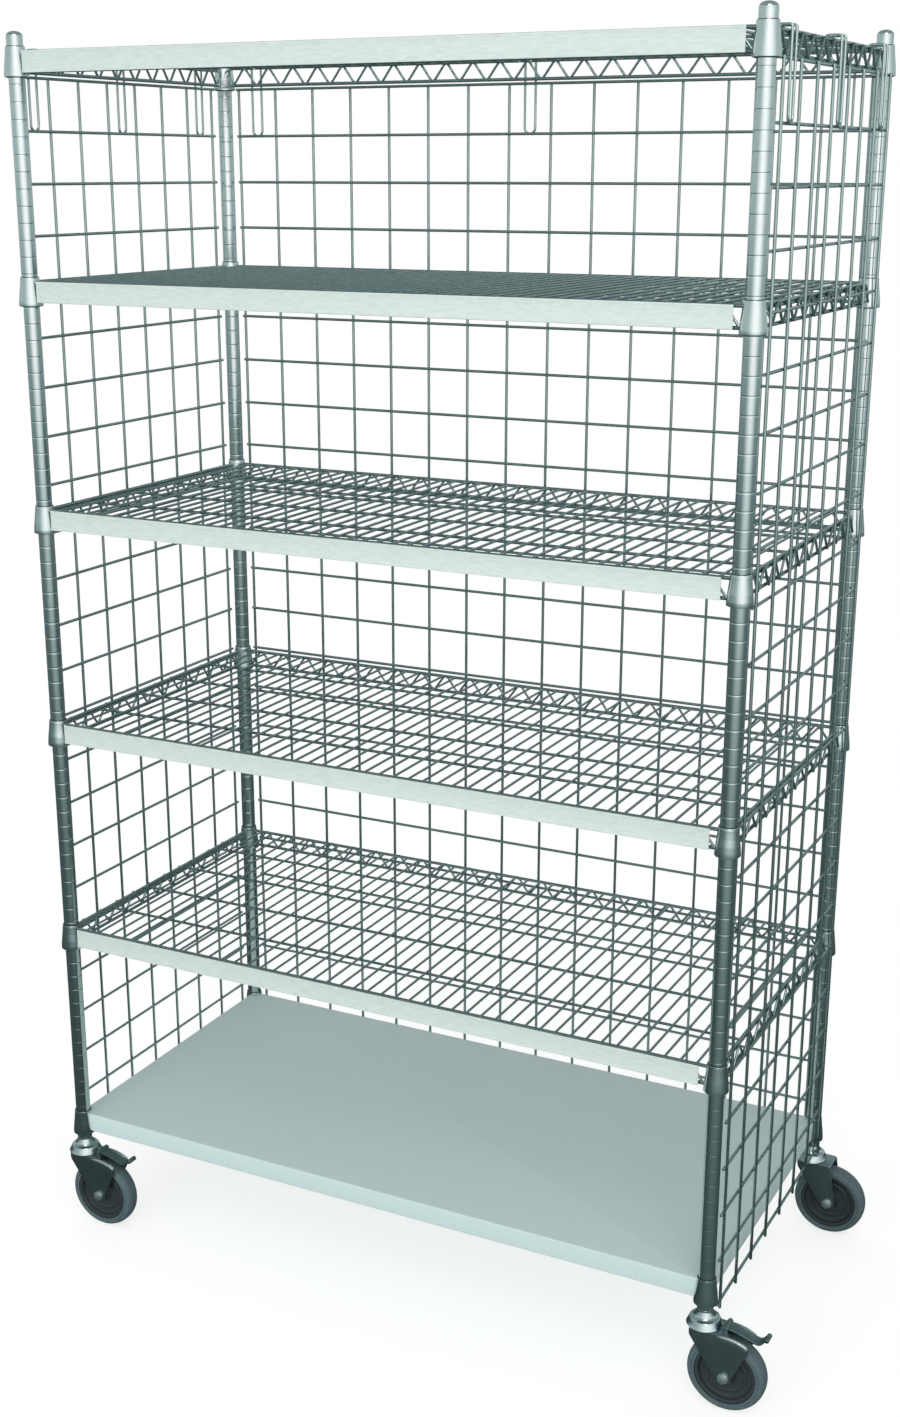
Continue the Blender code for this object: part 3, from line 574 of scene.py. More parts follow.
def sleeve_half_mesh():
    """Return one half of a sleeve, tapered to fit inside its collar."""
    reach = COLLAR_HALF + SLEEVE_SHOW
    corners = [(POST_RADIUS + SLEEVE_GAP, -reach), (COLLAR_BOTTOM_BORE - SLEEVE_GAP, -reach),
               (COLLAR_TOP_BORE - SLEEVE_GAP, reach), (POST_RADIUS + SLEEVE_GAP, reach)]
    half = turned(softened(corners, SLEEVE_EDGE, steps=2), sides=22, angle=math.pi - SLEEVE_SPLIT_ANGLE)
    half.transform(Matrix.Rotation(SLEEVE_SPLIT_ANGLE / 2, 4, "Z"))
    return half


all_collars = at_posts(collar_mesh())
sleeve_half = sleeve_half_mesh()
sleeve_levels = {f"shelf_{number}": level for number, level in shelf_levels.items()}
sleeve_levels["base"] = base_level
for label, level in sleeve_levels.items():
    for corner, foot in post_feet.items():
        for half, turn in (("a", 0), ("b", math.pi)):
            spot = Matrix.Translation(foot + Vector((0, 0, level))) @ Matrix.Rotation(turn, 4, "Z")
            finish_piece(f"sleeve_{label}_{corner}_{half}", shifted(sleeve_half, spot), sleeve_nylon,
                         "frame")
print("faces in a shelf's collars:", len(all_collars.polygons), "and in a sleeve half:",
      len(sleeve_half.polygons))

# %% [markdown]
# A wire shelf is a welded truss. Two thick wires run round it, one above the other, and a
# thinner wire, bent into a zigzag, is welded to the outside of both. Fine wires 25.4 mm
# apart cross the deck from front to back, and lengthwise ribs underneath keep them from
# sagging. The zigzag is a triangle wave with softened tips. A cosine that goes through an
# arcsine gives exactly that, and one number sets how soft the bends are.

# %% Wires of a shelf
TRUSS_HALF = 17.0 * MM
TRUSS_WIRE = 2.8 * MM
DECK_WIRE = 2.0 * MM
DECK_PITCH = 25.4 * MM
DECK_COUNT = 45
DECK_DROP = 0.4 * MM
RIB_WIRE = 2.3 * MM
# Places of the ribs, as shares of the shelf's depth from its middle.
RIB_SHARES = (-0.3, -0.1, 0.1, 0.3)
RIB_SINK = 0.3 * MM
ZIGZAG_WIRE = 2.0 * MM
ZIGZAG_PITCH = 50.8 * MM
ZIGZAG_SOFTNESS = 0.94
ZIGZAG_POINTS = 14
ZIGZAG_OFFSET = 4.6 * MM


def zigzag(length):
    """Return the points of a zigzag along X, between two collars, as tall as the truss."""
    turns = round(length / ZIGZAG_PITCH)
    reach = TRUSS_HALF - TRUSS_WIRE
    peak = math.asin(ZIGZAG_SOFTNESS)
    points = []
    for step in range(turns * ZIGZAG_POINTS + 1):
        share = step / (turns * ZIGZAG_POINTS)
        wave = math.asin(ZIGZAG_SOFTNESS * math.cos(math.tau * turns * share)) / peak
        points.append(Vector(((share - 0.5) * length, 0, -reach * wave)))
    return points


def truss_runs():
    """Return the runs of the two thick wires and the zigzag on all four sides."""
    inset = COLLAR_TOP
    height = TRUSS_HALF - TRUSS_WIRE
    runs = []
    for half_run, half_away, turn in ((HALF_LENGTH, HALF_DEPTH, 0), (HALF_DEPTH, HALF_LENGTH, 1)):
        quarter = Matrix.Rotation(turn * math.pi / 2, 4, "Z")
        for side in (-1, 1):
            for level in (-height, height):
                ends = [quarter @ Vector((along * (half_run - inset), side * half_away, level))
                        for along in (-1, 1)]
                runs.append([(ends[0], TRUSS_WIRE), (ends[1], TRUSS_WIRE)])
            offset = Vector((0, side * (half_away + ZIGZAG_OFFSET), 0))
            runs.append([(quarter @ (spot + offset), ZIGZAG_WIRE)
                         for spot in zigzag(2 * (half_run - inset))])
    return runs


def deck_runs():
    """Return the runs of the deck's wires, the ribs under them and the two side wires."""
    deck_height = TRUSS_HALF - DECK_DROP - DECK_WIRE
    rib_height = deck_height - DECK_WIRE - RIB_WIRE + RIB_SINK
    runs = []
    for index in range(DECK_COUNT):
        x = (index - (DECK_COUNT - 1) / 2) * DECK_PITCH
        reach = HALF_DEPTH + TRUSS_WIRE / 2
        runs.append(straight_wire((x, -reach, deck_height), (x, reach, deck_height), DECK_WIRE))
    for share in RIB_SHARES:
        y = share * 2 * HALF_DEPTH
        reach = HALF_LENGTH + RIB_WIRE
        runs.append(straight_wire((-reach, y, rib_height), (reach, y, rib_height), RIB_WIRE))
    for side in (-1, 1):
        reach = HALF_DEPTH - COLLAR_TOP
        x = side * HALF_LENGTH
        low = rib_height - RIB_WIRE / 2
        runs.append(straight_wire((x, -reach, low), (x, reach, low), RIB_WIRE))
    return runs


shelf_mesh = round_wires(truss_runs() + deck_runs())
for number, level in shelf_levels.items():
    spot = Matrix.Translation((PLAN_MIDDLE.x, 0, level))
    finish_piece(f"welded_shelf_{number}", shifted(shelf_mesh, spot), shelf_chrome_painted_shade, "frame",
                 [f"wire_shelf_{number}"])
    finish_piece(f"collars_of_shelf_{number}", shifted(all_collars, spot), post_chrome, "frame")
print("faces in a wire shelf:", len(shelf_mesh.polygons))

# %% [markdown]
# A pale strip runs along the front of each wire shelf and covers its truss. It is extruded,
# so its section is the same from end to end: a thin web with a thicker bead along each
# long edge, which keeps it straight. The section is drawn flat and given the strip's
# length as its thickness.

# %% Front strips
BEAD_HALF = 1.0 * MM
BEAD_HEIGHT = 2.6 * MM
BEAD_EDGE = 0.5 * MM
WEB_SHARE = 0.8
STRIP_END_EDGE = 0.3 * MM


def strip_mesh(low, high):
    """Return one strip that fills a node's box from end to end."""
    half_height = (high.z - low.z) / 2
    web = (high.y - low.y) / 2 * WEB_SHARE
    neck = half_height - BEAD_HEIGHT
    right = [(BEAD_HALF, -half_height), (BEAD_HALF, -neck), (web, -neck), (web, neck), (BEAD_HALF, neck),
             (BEAD_HALF, half_height)]
    corners = right + [(-across, up) for across, up in reversed(right)]
    mesh = pressed(softened(corners, BEAD_EDGE, steps=2), (high.x - low.x) / 2, STRIP_END_EDGE)
    mesh.transform(Matrix(((0, 0, 1, 0), (1, 0, 0, 0), (0, 1, 0, 0), (0, 0, 0, 1))))
    mesh.transform(Matrix.Translation((low + high) / 2))
    return mesh


for number in SHELF_NUMBERS:
    low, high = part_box(f"front_strip_{number}")
    finish_piece(f"vinyl_strip_{number}", strip_mesh(low, high), strip_vinyl, "frame",
                 [f"front_strip_{number}"])
print("strip length in mm:", round((high.x - low.x) / MM, 1))

# %% [markdown]
# The lowest shelf is a plain sheet with its edges turned down and then in again, so that
# no raw edge shows. A box without a floor is the quick way in: its edges get a bend radius
# from a bevel, its lower rim is drawn inwards for the return, and Solidify gives the whole
# skin the thickness of the sheet. Its corner collars are chrome plated like the other
# shelves', so they are a piece with a finish of its own.

# %% Solid base shelf
SHEET = 1.5 * MM
BEND_RADIUS = 3.0 * MM
RETURN_FLANGE = 9.0 * MM
LIP_HALF = 17.0 * MM
LIP_OVERHANG = 4.0 * MM


def folded_sheet():
    """Return the sheet with its turned-down lips and inward returns."""
    half_x = HALF_LENGTH + LIP_OVERHANG
    half_y = HALF_DEPTH + LIP_OVERHANG
    work = bmesh.new()
    bmesh.ops.create_cube(work, size=2.0, matrix=Matrix.Diagonal((half_x, half_y, LIP_HALF, 1)))
    bottom = [face for face in work.faces if face.normal.z < -0.5]
    bmesh.ops.inset_region(work, faces=bottom, thickness=RETURN_FLANGE, use_even_offset=True)
    bmesh.ops.delete(work, geom=bottom, context="FACES")
    outer_edges = [edge for edge in work.edges if len(edge.link_faces) == 2
                   and edge.calc_face_angle() > SHARP_ANGLE]
    bmesh.ops.bevel(work, geom=outer_edges, offset=BEND_RADIUS, segments=4, profile=0.5,
                    affect="EDGES")
    item = scratch_object(mesh_of(work, "sheet"))
    skin = item.modifiers.new("skin", "SOLIDIFY")
    skin.thickness = SHEET
    skin.offset = -1
    return baked(item)


bore = cylinder(COLLAR_TOP_BORE, -2 * COLLAR_HALF, 2 * COLLAR_HALF, sides=48)
base_mesh = cut(folded_sheet(), at_posts(bore))
base_spot = Matrix.Translation((PLAN_MIDDLE.x, 0, base_level))
finish_piece("folded_base_shelf", shifted(base_mesh, base_spot), base_coat, "frame",
             ["base_shelf"])
finish_piece("base_shelf_collars", shifted(all_collars, base_spot), post_chrome, "frame")
print("faces in the base shelf:", len(base_mesh.polygons))

# %% [markdown]
# The back and the sides are closed by welded wire panels. Their level wires lie in the
# layer next to the shelves and their uprights in the layer outside, touching where they
# are welded. The uprights run a few millimetres past the lowest wire. Three hairpin hooks
# are welded to each panel and drop over the top wire of the highest shelf. A hook is one
# wire: over the rail, down, round a tight bend and back up.

# %% Wire panels with hairpin hooks
PANEL_WIRE = 2.4 * MM
PANEL_PITCH = 76.2 * MM
PANEL_RISE = 78.6 * MM
PANEL_STANDOFF = 9.8 * MM
PANEL_TOP_DROP = 20.6 * MM
WELD_SINK = 0.2 * MM
WIRE_PAST = 2.0 * MM
LEVEL_LAYER = PANEL_STANDOFF + PANEL_WIRE
UPRIGHT_LAYER = LEVEL_LAYER + 2 * PANEL_WIRE - WELD_SINK
HOOK_WIRE = 2.1 * MM
HOOK_HALF = 9.5 * MM
HOOK_RISE = 2.0 * MM
HOOK_SQUARENESS = 0.6
HOOK_TIP = 6.0 * MM
HOOK_CLEAR = 0.3 * MM
HOOK_LIFT = 0.4 * MM
HOOK_ARC_STEPS = 10


def hook_run(middle, panel_top):
    """Return the run of one hairpin hook in its panel's upright layer."""
    outer = UPRIGHT_LAYER
    inner = -(TRUSS_WIRE + HOOK_CLEAR + HOOK_WIRE)
    spring = shelf_levels[1] + TRUSS_HALF + HOOK_LIFT
    over = []
    for step in range(HOOK_ARC_STEPS + 1):
        angle = math.pi * step / HOOK_ARC_STEPS
        across = math.copysign(abs(math.cos(angle)) ** HOOK_SQUARENESS, math.cos(angle))
        depth = (outer + inner) / 2 - (outer - inner) / 2 * across
        over.append((depth, spring + HOOK_RISE * math.sin(angle) ** HOOK_SQUARENESS))
    over.insert(0, (inner, spring - HOOK_TIP))
    bend_height = panel_top - PANEL_RISE + HOOK_HALF
    points = [Vector((middle - HOOK_HALF, depth, height)) for depth, height in over]
    for step in range(HOOK_ARC_STEPS + 1):
        angle = math.pi * (1 + step / HOOK_ARC_STEPS)
        points.append(Vector((middle + HOOK_HALF * math.cos(angle), outer,
                              bend_height + HOOK_HALF * math.sin(angle))))
    points += [Vector((middle + HOOK_HALF, depth, height)) for depth, height in reversed(over)]
    return [(point, HOOK_WIRE) for point in points]


def panel_meshes(node, half_width):
    """Return one panel and its hooks, facing +Y, the line of the posts at y = 0."""
    low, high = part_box(node)
    cells = round(2 * half_width / PANEL_PITCH)
    top = shelf_levels[1] - PANEL_TOP_DROP
    rows = round((top - low.z) / PANEL_RISE) + 1
    bottom = top - (rows - 1) * PANEL_RISE
    runs = []
    for index in range(cells + 1):
        x = -half_width + index * PANEL_PITCH
        runs.append(straight_wire((x, UPRIGHT_LAYER, bottom - PANEL_WIRE - WIRE_PAST),
                                  (x, UPRIGHT_LAYER, top + PANEL_WIRE), PANEL_WIRE))
    for index in range(rows):
        z = top - index * PANEL_RISE
        reach = half_width + PANEL_WIRE
        runs.append(straight_wire((-reach, LEVEL_LAYER, z), (reach, LEVEL_LAYER, z), PANEL_WIRE))
    hooks = [hook_run(-half_width + (cell + 0.5) * PANEL_PITCH, top)
             for cell in (0, cells // 2, cells - 1)]
    return round_wires(runs), round_wires(hooks)


side_half = int((2 * HALF_DEPTH - 2 * POST_RADIUS) / PANEL_PITCH) * PANEL_PITCH / 2
back_half = int((2 * HALF_LENGTH - 2 * POST_RADIUS) / PANEL_PITCH) * PANEL_PITCH / 2
panels = (
    ("panel_back", back_half, (0, HALF_DEPTH), 0),
    ("panel_left", side_half, (-HALF_LENGTH, 0), math.pi / 2),
    ("panel_right", side_half, (HALF_LENGTH, 0), -math.pi / 2),
)
for node, half_width, (x, y), turn in panels:
    grid, hooks = panel_meshes(node, half_width)
    spot = Matrix.Translation((PLAN_MIDDLE.x + x, y, 0)) @ Matrix.Rotation(turn, 4, "Z")
    finish_piece(f"welded_{node}", shifted(grid, spot), panel_chrome_painted_shade, "frame", [node])
    finish_piece(f"hooks_of_{node}", shifted(hooks, spot), hook_chrome_painted_highlight, "frame")
    print(node, "faces:", len(grid.polygons) + len(hooks.polygons))

# %% [markdown]
# A caster starts with a stem that plugs into the post, and a swivel head that spreads the
# load onto the fork. Both are turned, so one profile draws them: a plain stem, a steep cone
# under the post, a flat shoulder, and a rounded skirt over the ball race. The skirt leans
# out, so it mirrors the bright horizon and shows as a pale band.

# %% Caster stems and swivel heads
HEAD_RADIUS = node_size("caster_stem_front_left").x / 2
FORK_TOP = joints["swivel_front_left"].z
# Shares across, from the post to the skirt, and up, from the fork to the neck.
HEAD_SHARES = ((0.0, 1.0), (0.07, 0.88), (0.17, 0.73), (0.28, 0.61), (0.42, 0.54), (0.56, 0.52),
               (0.68, 0.48), (0.75, 0.39), (0.87, 0.21), (1.0, 0.05))
HEAD_STEPS = 4
NECK = 3.0 * MM
NECK_EDGE = 0.4 * MM
PLUG_EDGE = 1.0 * MM
SKIRT_EDGE = 1.2 * MM
KINGPIN_RADIUS = 6.0 * MM
RIVET_RADIUS = 9.0 * MM
RIVET_TOP = FORK_TOP - 3.3 * MM
RIVET_EDGE = 0.4 * MM


def stem_profile():
    """Return the profile of stem, cone, shoulder, skirt and rivet, from the top downwards."""
    low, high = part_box("caster_stem_front_left")
    plug = POST_RADIUS - TUBE_WALL - FIT_GAP
    neck_top = post_low.z - FIT_GAP
    neck_low = neck_top - NECK
    profile = [(0, high.z), (plug - PLUG_EDGE, high.z), (plug, high.z - PLUG_EDGE), (plug, neck_top),
               (POST_RADIUS - NECK_EDGE, neck_top), (POST_RADIUS, neck_top - NECK_EDGE)]
    corners = [(POST_RADIUS + across * (HEAD_RADIUS - POST_RADIUS), FORK_TOP + up * (neck_low - FORK_TOP))
               for across, up in HEAD_SHARES]
    profile += [tuple(spot) for spot in smooth_line(corners, HEAD_STEPS)]
    profile += [(HEAD_RADIUS - SKIRT_EDGE, FORK_TOP + FIT_GAP), (KINGPIN_RADIUS, FORK_TOP + FIT_GAP),
                (KINGPIN_RADIUS, RIVET_TOP), (RIVET_RADIUS, RIVET_TOP),
                (RIVET_RADIUS - RIVET_EDGE, low.z + RIVET_EDGE), (RIVET_RADIUS - PLUG_EDGE, low.z),
                (0, low.z)]
    return profile


stem_mesh = turned(stem_profile(), closed=False)
for corner, foot in post_feet.items():
    finish_piece(f"swivel_head_{corner}", shifted(stem_mesh, Matrix.Translation(foot)), head_zinc,
                 "frame", [f"caster_stem_{corner}"])
print("head radius in mm:", round(HEAD_RADIUS / MM, 1), "and fork top in mm:", round(FORK_TOP / MM, 1))

# %% [markdown]
# The fork is pressed from one sheet: a flat crown under the head and two cheeks that narrow
# down to the axle. The outline of its side is drawn once, pressed as deep as the fork is
# wide, and hollowed where the wheel turns. The braked forks have cheeks that arch over the
# wheel on both sides of the pedal, with a rolled rim along the arch and two ears for the
# pedal's pin. The plain forks come straight down from the crown.

# %% Caster forks
FORK_HALF = 22.0 * MM
FORK_SHEET = 3.0 * MM
FORK_NOSE = 18.0 * MM
FORK_NOSE_DROP = 12.0 * MM
FORK_BOSS = 13.0 * MM
# Turns on the fork's side are in degrees about the axle: 0 is the pedal's side, 90 the top.
BOSS_ARC = (205, 370)
FORK_EDGE = 0.9 * MM
CROWN_REACH = 46.0 * MM
LEG_REACH = 42.0 * MM
CROWN_CORNER = 4.0 * MM
HOLLOW_EDGE = 0.2 * MM
KINGPIN_HOLE = 6.4 * MM
RIM_ROD = 3.6 * MM
RIM_PROUD = 1.6 * MM
RIM_START = 22.0 * MM
RIM_END_SHARE = 0.4
ARCH_END = 57
ARCH_CORNER = 8.0 * MM
RIM_TURN = 5
RIM_CURL = 9.0 * MM
CURL_TURN = 3
RIM_BEND = 3.0 * MM
AXLE_HOLE = 5.3 * MM
EAR_HALF = 1.5 * MM
EAR_MIDDLE = 12.8 * MM
EAR_RADIUS = 4.0 * MM
EAR_EDGE = 0.4 * MM
WHEEL_CENTRE = joints["spin_front_left"] - post_feet["front_left"]
PEDAL_PIN = joints["brake_front_left"] - post_feet["front_left"]
AXLE = (WHEEL_CENTRE.x, WHEEL_CENTRE.z)
ARCH_RADIUS = FORK_TOP - WHEEL_CENTRE.z


def arc(centre, radius, start, end, steps):
    """Return points along an arc in a plane, its angles in degrees."""
    points = []
    for step in range(steps + 1):
        angle = math.radians(start + (end - start) * step / steps)
        points.append((centre[0] + radius * math.cos(angle), centre[1] + radius * math.sin(angle)))
    return points


def fork_outline(braked):
    """Return the side outline of a fork, arched over the wheel or with a plain leg."""
    boss = arc(AXLE, FORK_BOSS, *BOSS_ARC, 14)
    nose = [(-FORK_NOSE, FORK_TOP), (-FORK_NOSE, FORK_TOP - FORK_NOSE_DROP)]
    if not braked:
        return softened([boss[-1], (LEG_REACH, FORK_TOP), *nose, boss[0]], CROWN_CORNER,
                        closed=False)[1:-1] + boss
    arch = arc(AXLE, ARCH_RADIUS, ARCH_END, 90, 10)
    tip = softened([boss[-1], arch[0], arch[4]], ARCH_CORNER, closed=False)[1:-1]
    crown = softened([arch[-1], *nose, boss[0]], CROWN_CORNER, closed=False)[1:-1]
    return tip + arch[4:] + crown + boss


def fork_mesh(braked):
    """Return one fork about its swivel axis, at its real height."""
    blank = pressed(fork_outline(braked), FORK_HALF, FORK_EDGE)
    back = -2 * FORK_NOSE
    front = AXLE[0] + 2 * ARCH_RADIUS
    under = FORK_TOP - FORK_SHEET
    inside = [(back, under), (back, 0), (front, 0), (front, 2 * FORK_TOP), (CROWN_REACH, 2 * FORK_TOP),
              (CROWN_REACH, under)]
    hollow = pressed(inside, FORK_HALF - FORK_SHEET, HOLLOW_EDGE)
    hole = cylinder(AXLE_HOLE, -2 * FORK_HALF, 2 * FORK_HALF, sides=24)
    hole.transform(Matrix.Translation((*AXLE, 0)))
    shell = upright_plate(cut(blank, hollow, hole))
    kingpin = cylinder(KINGPIN_HOLE, FORK_TOP - 2 * FORK_SHEET, FORK_TOP + 2 * FORK_SHEET, sides=24)
    parts = [cut(shell, kingpin)]
    if braked:
        parts += ear_meshes()
    return together(parts)


def rim_mesh():
    """Return the rolled rims of a braked fork, along the arch of both its cheeks."""
    curl = arc(AXLE, ARCH_RADIUS - RIM_CURL, ARCH_END + CURL_TURN, ARCH_END + CURL_TURN, 1)[:1]
    rim = arc(AXLE, ARCH_RADIUS - RIM_ROD, ARCH_END + RIM_TURN, 90, 12)
    rim = softened([*curl, *rim, (RIM_START, FORK_TOP - RIM_ROD)], RIM_BEND, steps=2, closed=False)
    runs = []
    for side in (-1, 1):
        y = side * (FORK_HALF - RIM_ROD + RIM_PROUD)
        runs.append([(Vector((x, y, z)), RIM_ROD * (RIM_END_SHARE if index in (0, len(rim) - 1) else 1))
                     for index, (x, z) in enumerate(rim)])
    return round_wires(runs)


def ear_meshes():
    """Return the two ears that hold the pedal's pin."""
    foot = FORK_TOP - MM
    outline = [(PEDAL_PIN.x - EAR_RADIUS, foot)]
    outline += reversed(arc((PEDAL_PIN.x, PEDAL_PIN.z), EAR_RADIUS, 0, 180, 12))
    outline += [(PEDAL_PIN.x + EAR_RADIUS, foot)]
    ears = []
    for side in (-1, 1):
        ear = upright_plate(pressed(outline, EAR_HALF, EAR_EDGE))
        ears.append(shifted(ear, Matrix.Translation((0, side * EAR_MIDDLE, 0))))
    return ears


fork_meshes = {True: fork_mesh(True), False: fork_mesh(False)}
rims = rim_mesh()
for corner, origin in post_feet.items():
    braked = corner in BRAKED_CORNERS
    finish_piece(f"pressed_fork_{corner}", fork_meshes[braked], fork_zinc, f"fork_{corner}",
                 [f"caster_fork_{corner}"], origin)
    if braked:
        finish_piece(f"rolled_rims_{corner}", rims, rim_zinc_painted_highlight, f"fork_{corner}", (), origin)
print("faces in a braked fork:", len(fork_meshes[True].polygons))

# %% [markdown]
# The wheel runs on a bolt: a hexagon head outside one cheek, a nut outside the other and a
# washer under each. A hexagon is a cone of six sides, and a small bevel eases its edges,
# as forging and plating do on a real one.

# %% Axle bolts
BOLT_RADIUS = 5.0 * MM
HEX_RADIUS = 8.4 * MM
WASHER_RADIUS = 8.5 * MM
WASHER = 1.0 * MM
WASHER_EDGE = 0.3 * MM
BOLT_END = 0.4 * MM
HEX_EDGE = 0.5 * MM


def hexagon(low, high):
    """Return a hexagon about Z between two heights, its outer corners eased."""
    work = bmesh.new()
    bmesh.ops.create_cone(work, cap_ends=True, segments=6, radius1=HEX_RADIUS, radius2=HEX_RADIUS,
                          depth=high - low, matrix=Matrix.Translation((0, 0, (low + high) / 2)))
    bmesh.ops.bevel(work, geom=work.edges[:], offset=HEX_EDGE, segments=2, profile=0.5,
                    affect="EDGES")
    return mesh_of(work, "hexagon")


def axle_mesh():
    """Return the bolt, its head, its nut and both washers, along Y."""
    end = node_size("axle_front_left").y / 2
    seat = FORK_HALF + FIT_GAP
    shank = [(0, -end + MM), (BOLT_RADIUS, -end + MM), (BOLT_RADIUS, end - BOLT_END),
             (BOLT_RADIUS - MM, end), (0, end)]
    parts = [turned(shank, sides=32, closed=False)]
    for side in (-1, 1):
        near, far = sorted((side * seat, side * (seat + WASHER)))
        corners = [(BOLT_RADIUS, near), (WASHER_RADIUS, near), (WASHER_RADIUS, far), (BOLT_RADIUS, far)]
        parts.append(turned(softened(corners, WASHER_EDGE, steps=2), sides=32))
        near, far = sorted((side * (seat + WASHER), side * (end - BOLT_END)))
        parts.append(hexagon(near, far))
    return upright_plate(together(parts))


axle = axle_mesh()
for corner in CORNERS:
    finish_piece(f"axle_bolt_{corner}", axle, bolt_zinc_painted_highlight, f"fork_{corner}", [f"axle_{corner}"],
                 joints[f"spin_{corner}"])
print("axle length in mm:", round(node_size("axle_front_left").y / MM, 1))

# %% [markdown]
# The wheel's core is one nylon moulding: a hub, a thin web with a raised ring on each face,
# and a rim that the tyre is moulded onto. The tyre is crowned in the middle, and its side
# has a shallow groove where it meets the rim. Both profiles are symmetrical, so half of
# each is drawn and mirrored.

# %% Wheels
WHEEL_RADIUS = WHEEL_CENTRE.z
TYRE_HALF = 15.0 * MM
TYRE_BORE = 50.0 * MM
RIM_HALF = 13.0 * MM
WEB_HALF = 4.0 * MM
HUB_HALF = 18.5 * MM
HUB_RADIUS = 13.0 * MM
CORE_EDGE = 0.8 * MM
WHEEL_SIDES = 72


def mirrored_profile(half):
    """Return a closed profile from its upper half, which starts at the outside."""
    return half + [(radius, -height) for radius, height in reversed(half)]


def core_profile():
    """Return the profile of hub, web, ring and rim."""
    outside = TYRE_BORE - FIT_GAP
    half = [(outside, RIM_HALF), (44.5 * MM, RIM_HALF), (43.5 * MM, RIM_HALF - 2.5 * MM),
            (42.0 * MM, WEB_HALF + 1.5 * MM), (34.0 * MM, WEB_HALF), (32.5 * MM, WEB_HALF + 2.2 * MM),
            (29.5 * MM, WEB_HALF + 2.2 * MM), (28.0 * MM, WEB_HALF), (HUB_RADIUS + 3 * MM, WEB_HALF + MM),
            (HUB_RADIUS, HUB_HALF - 5 * MM), (HUB_RADIUS - MM, HUB_HALF), (AXLE_HOLE, HUB_HALF)]
    return softened(mirrored_profile(half), CORE_EDGE, steps=2)


def tyre_profile():
    """Return the profile of a crowned tyre with a groove in its side."""
    half = []
    for across, drop in ((0.0, 0.0), (0.25, 0.15), (0.5, 0.8), (0.7, 2.0), (0.86, 3.9), (0.96, 6.0)):
        half.append((WHEEL_RADIUS - drop * MM, across * TYRE_HALF))
    half += [(WHEEL_RADIUS - 8.0 * MM, TYRE_HALF), (WHEEL_RADIUS - 9.6 * MM, TYRE_HALF - 1.6 * MM),
             (WHEEL_RADIUS - 11.0 * MM, TYRE_HALF - 0.4 * MM), (TYRE_BORE, TYRE_HALF - 0.8 * MM)]
    lower = [(radius, -height) for radius, height in reversed(half[1:])]
    return half + lower


core_mesh = upright_plate(turned(core_profile(), sides=WHEEL_SIDES))
tyre_mesh = upright_plate(turned(tyre_profile(), sides=WHEEL_SIDES))
for corner in CORNERS:
    hub = joints[f"spin_{corner}"]
    finish_piece(f"nylon_core_{corner}", core_mesh, core_nylon, f"wheel_{corner}",
                 [f"wheel_core_{corner}"], hub)
    finish_piece(f"rubber_tyre_{corner}", tyre_mesh, tyre_rubber, f"wheel_{corner}",
                 [f"tyre_{corner}"], hub)
print("wheel radius in mm:", round(WHEEL_RADIUS / MM, 1))

# %% [markdown]
# The front casters have a brake pedal: a pressed blade that falls away from its pin and
# turns up at the tip, where its end is rolled into a round bar for a toe to lift. Its side
# view is a line of a few points with the sheet's thickness on both sides. A smooth curve
# through those points is easier to believe than straight runs, because a press rounds
# every bend.

# %% Brake pedals
BLADE_HALF = 1.5 * MM
BLADE_HALF_WIDTH = 10.0 * MM
BLADE_EDGE = 0.6 * MM
BLADE_REACH = 68.0 * MM
BLADE_FALL = 13.5 * MM
# Shares of the reach and of the fall, from the pin to the toe.
BLADE_SHARES = ((0.0, 0.0), (0.34, 0.42), (0.70, 1.0), (0.82, 0.85), (0.91, 0.30))
TOE_RADIUS = 4.0 * MM
BLADE_STEPS = 6
KNUCKLE_RADIUS = 4.5 * MM
PIN_RADIUS = 2.5 * MM
PIN_HALF = 14.8 * MM
PIN_EDGE = 0.5 * MM
RIDGE_WIRE = 0.7 * MM
RIDGE_INSET = 3.0 * MM
# The grip ridges lie on these points of the blade's upper line.
RIDGE_SPOTS = (8, 11, 14)


def pedal_mesh():
    """Return the pedal about its pin: blade, grip ridges, toe bar, knuckle and pin."""
    middle = smooth_line([(run * BLADE_REACH, -fall * BLADE_FALL) for run, fall in BLADE_SHARES],
                         BLADE_STEPS)
    upper = []
    lower = []
    for index, spot in enumerate(middle):
        ahead = middle[min(index + 1, len(middle) - 1)] - middle[max(index - 1, 0)]
        across = Vector((-ahead.y, ahead.x)).normalized() * BLADE_HALF
        upper.append(tuple(spot + across))
        lower.append(tuple(spot - across))
    outline = upper + list(reversed(lower))
    parts = [upright_plate(pressed(outline, BLADE_HALF_WIDTH, BLADE_EDGE))]
    for radius, half in ((KNUCKLE_RADIUS, BLADE_HALF_WIDTH - FIT_GAP), (PIN_RADIUS, PIN_HALF)):
        corners = [(0, -half), (radius, -half), (radius, half), (0, half)]
        parts.append(upright_plate(turned(softened(corners, PIN_EDGE, closed=False), sides=32,
                                          closed=False)))
    ridges = []
    for index in RIDGE_SPOTS:
        spot = Vector((upper[index][0], 0, upper[index][1]))
        side = Vector((0, BLADE_HALF_WIDTH - RIDGE_INSET, 0))
        ridges.append(straight_wire(spot - side, spot + side, RIDGE_WIRE))
    toe = Vector((BLADE_REACH - TOE_RADIUS, 0, middle[-1].y))
    side = Vector((0, BLADE_HALF_WIDTH, 0))
    ridges.append(straight_wire(toe - side, toe + side, TOE_RADIUS))
    parts.append(round_wires(ridges, resolution=2))
    return together(parts)


pedal = pedal_mesh()
for corner in BRAKED_CORNERS:
    finish_piece(f"pressed_pedal_{corner}", pedal, pedal_zinc, f"pedal_{corner}",
                 [f"brake_pedal_{corner}"], joints[f"brake_{corner}"])
print("pedal reach in mm:", round(BLADE_REACH / MM, 1))

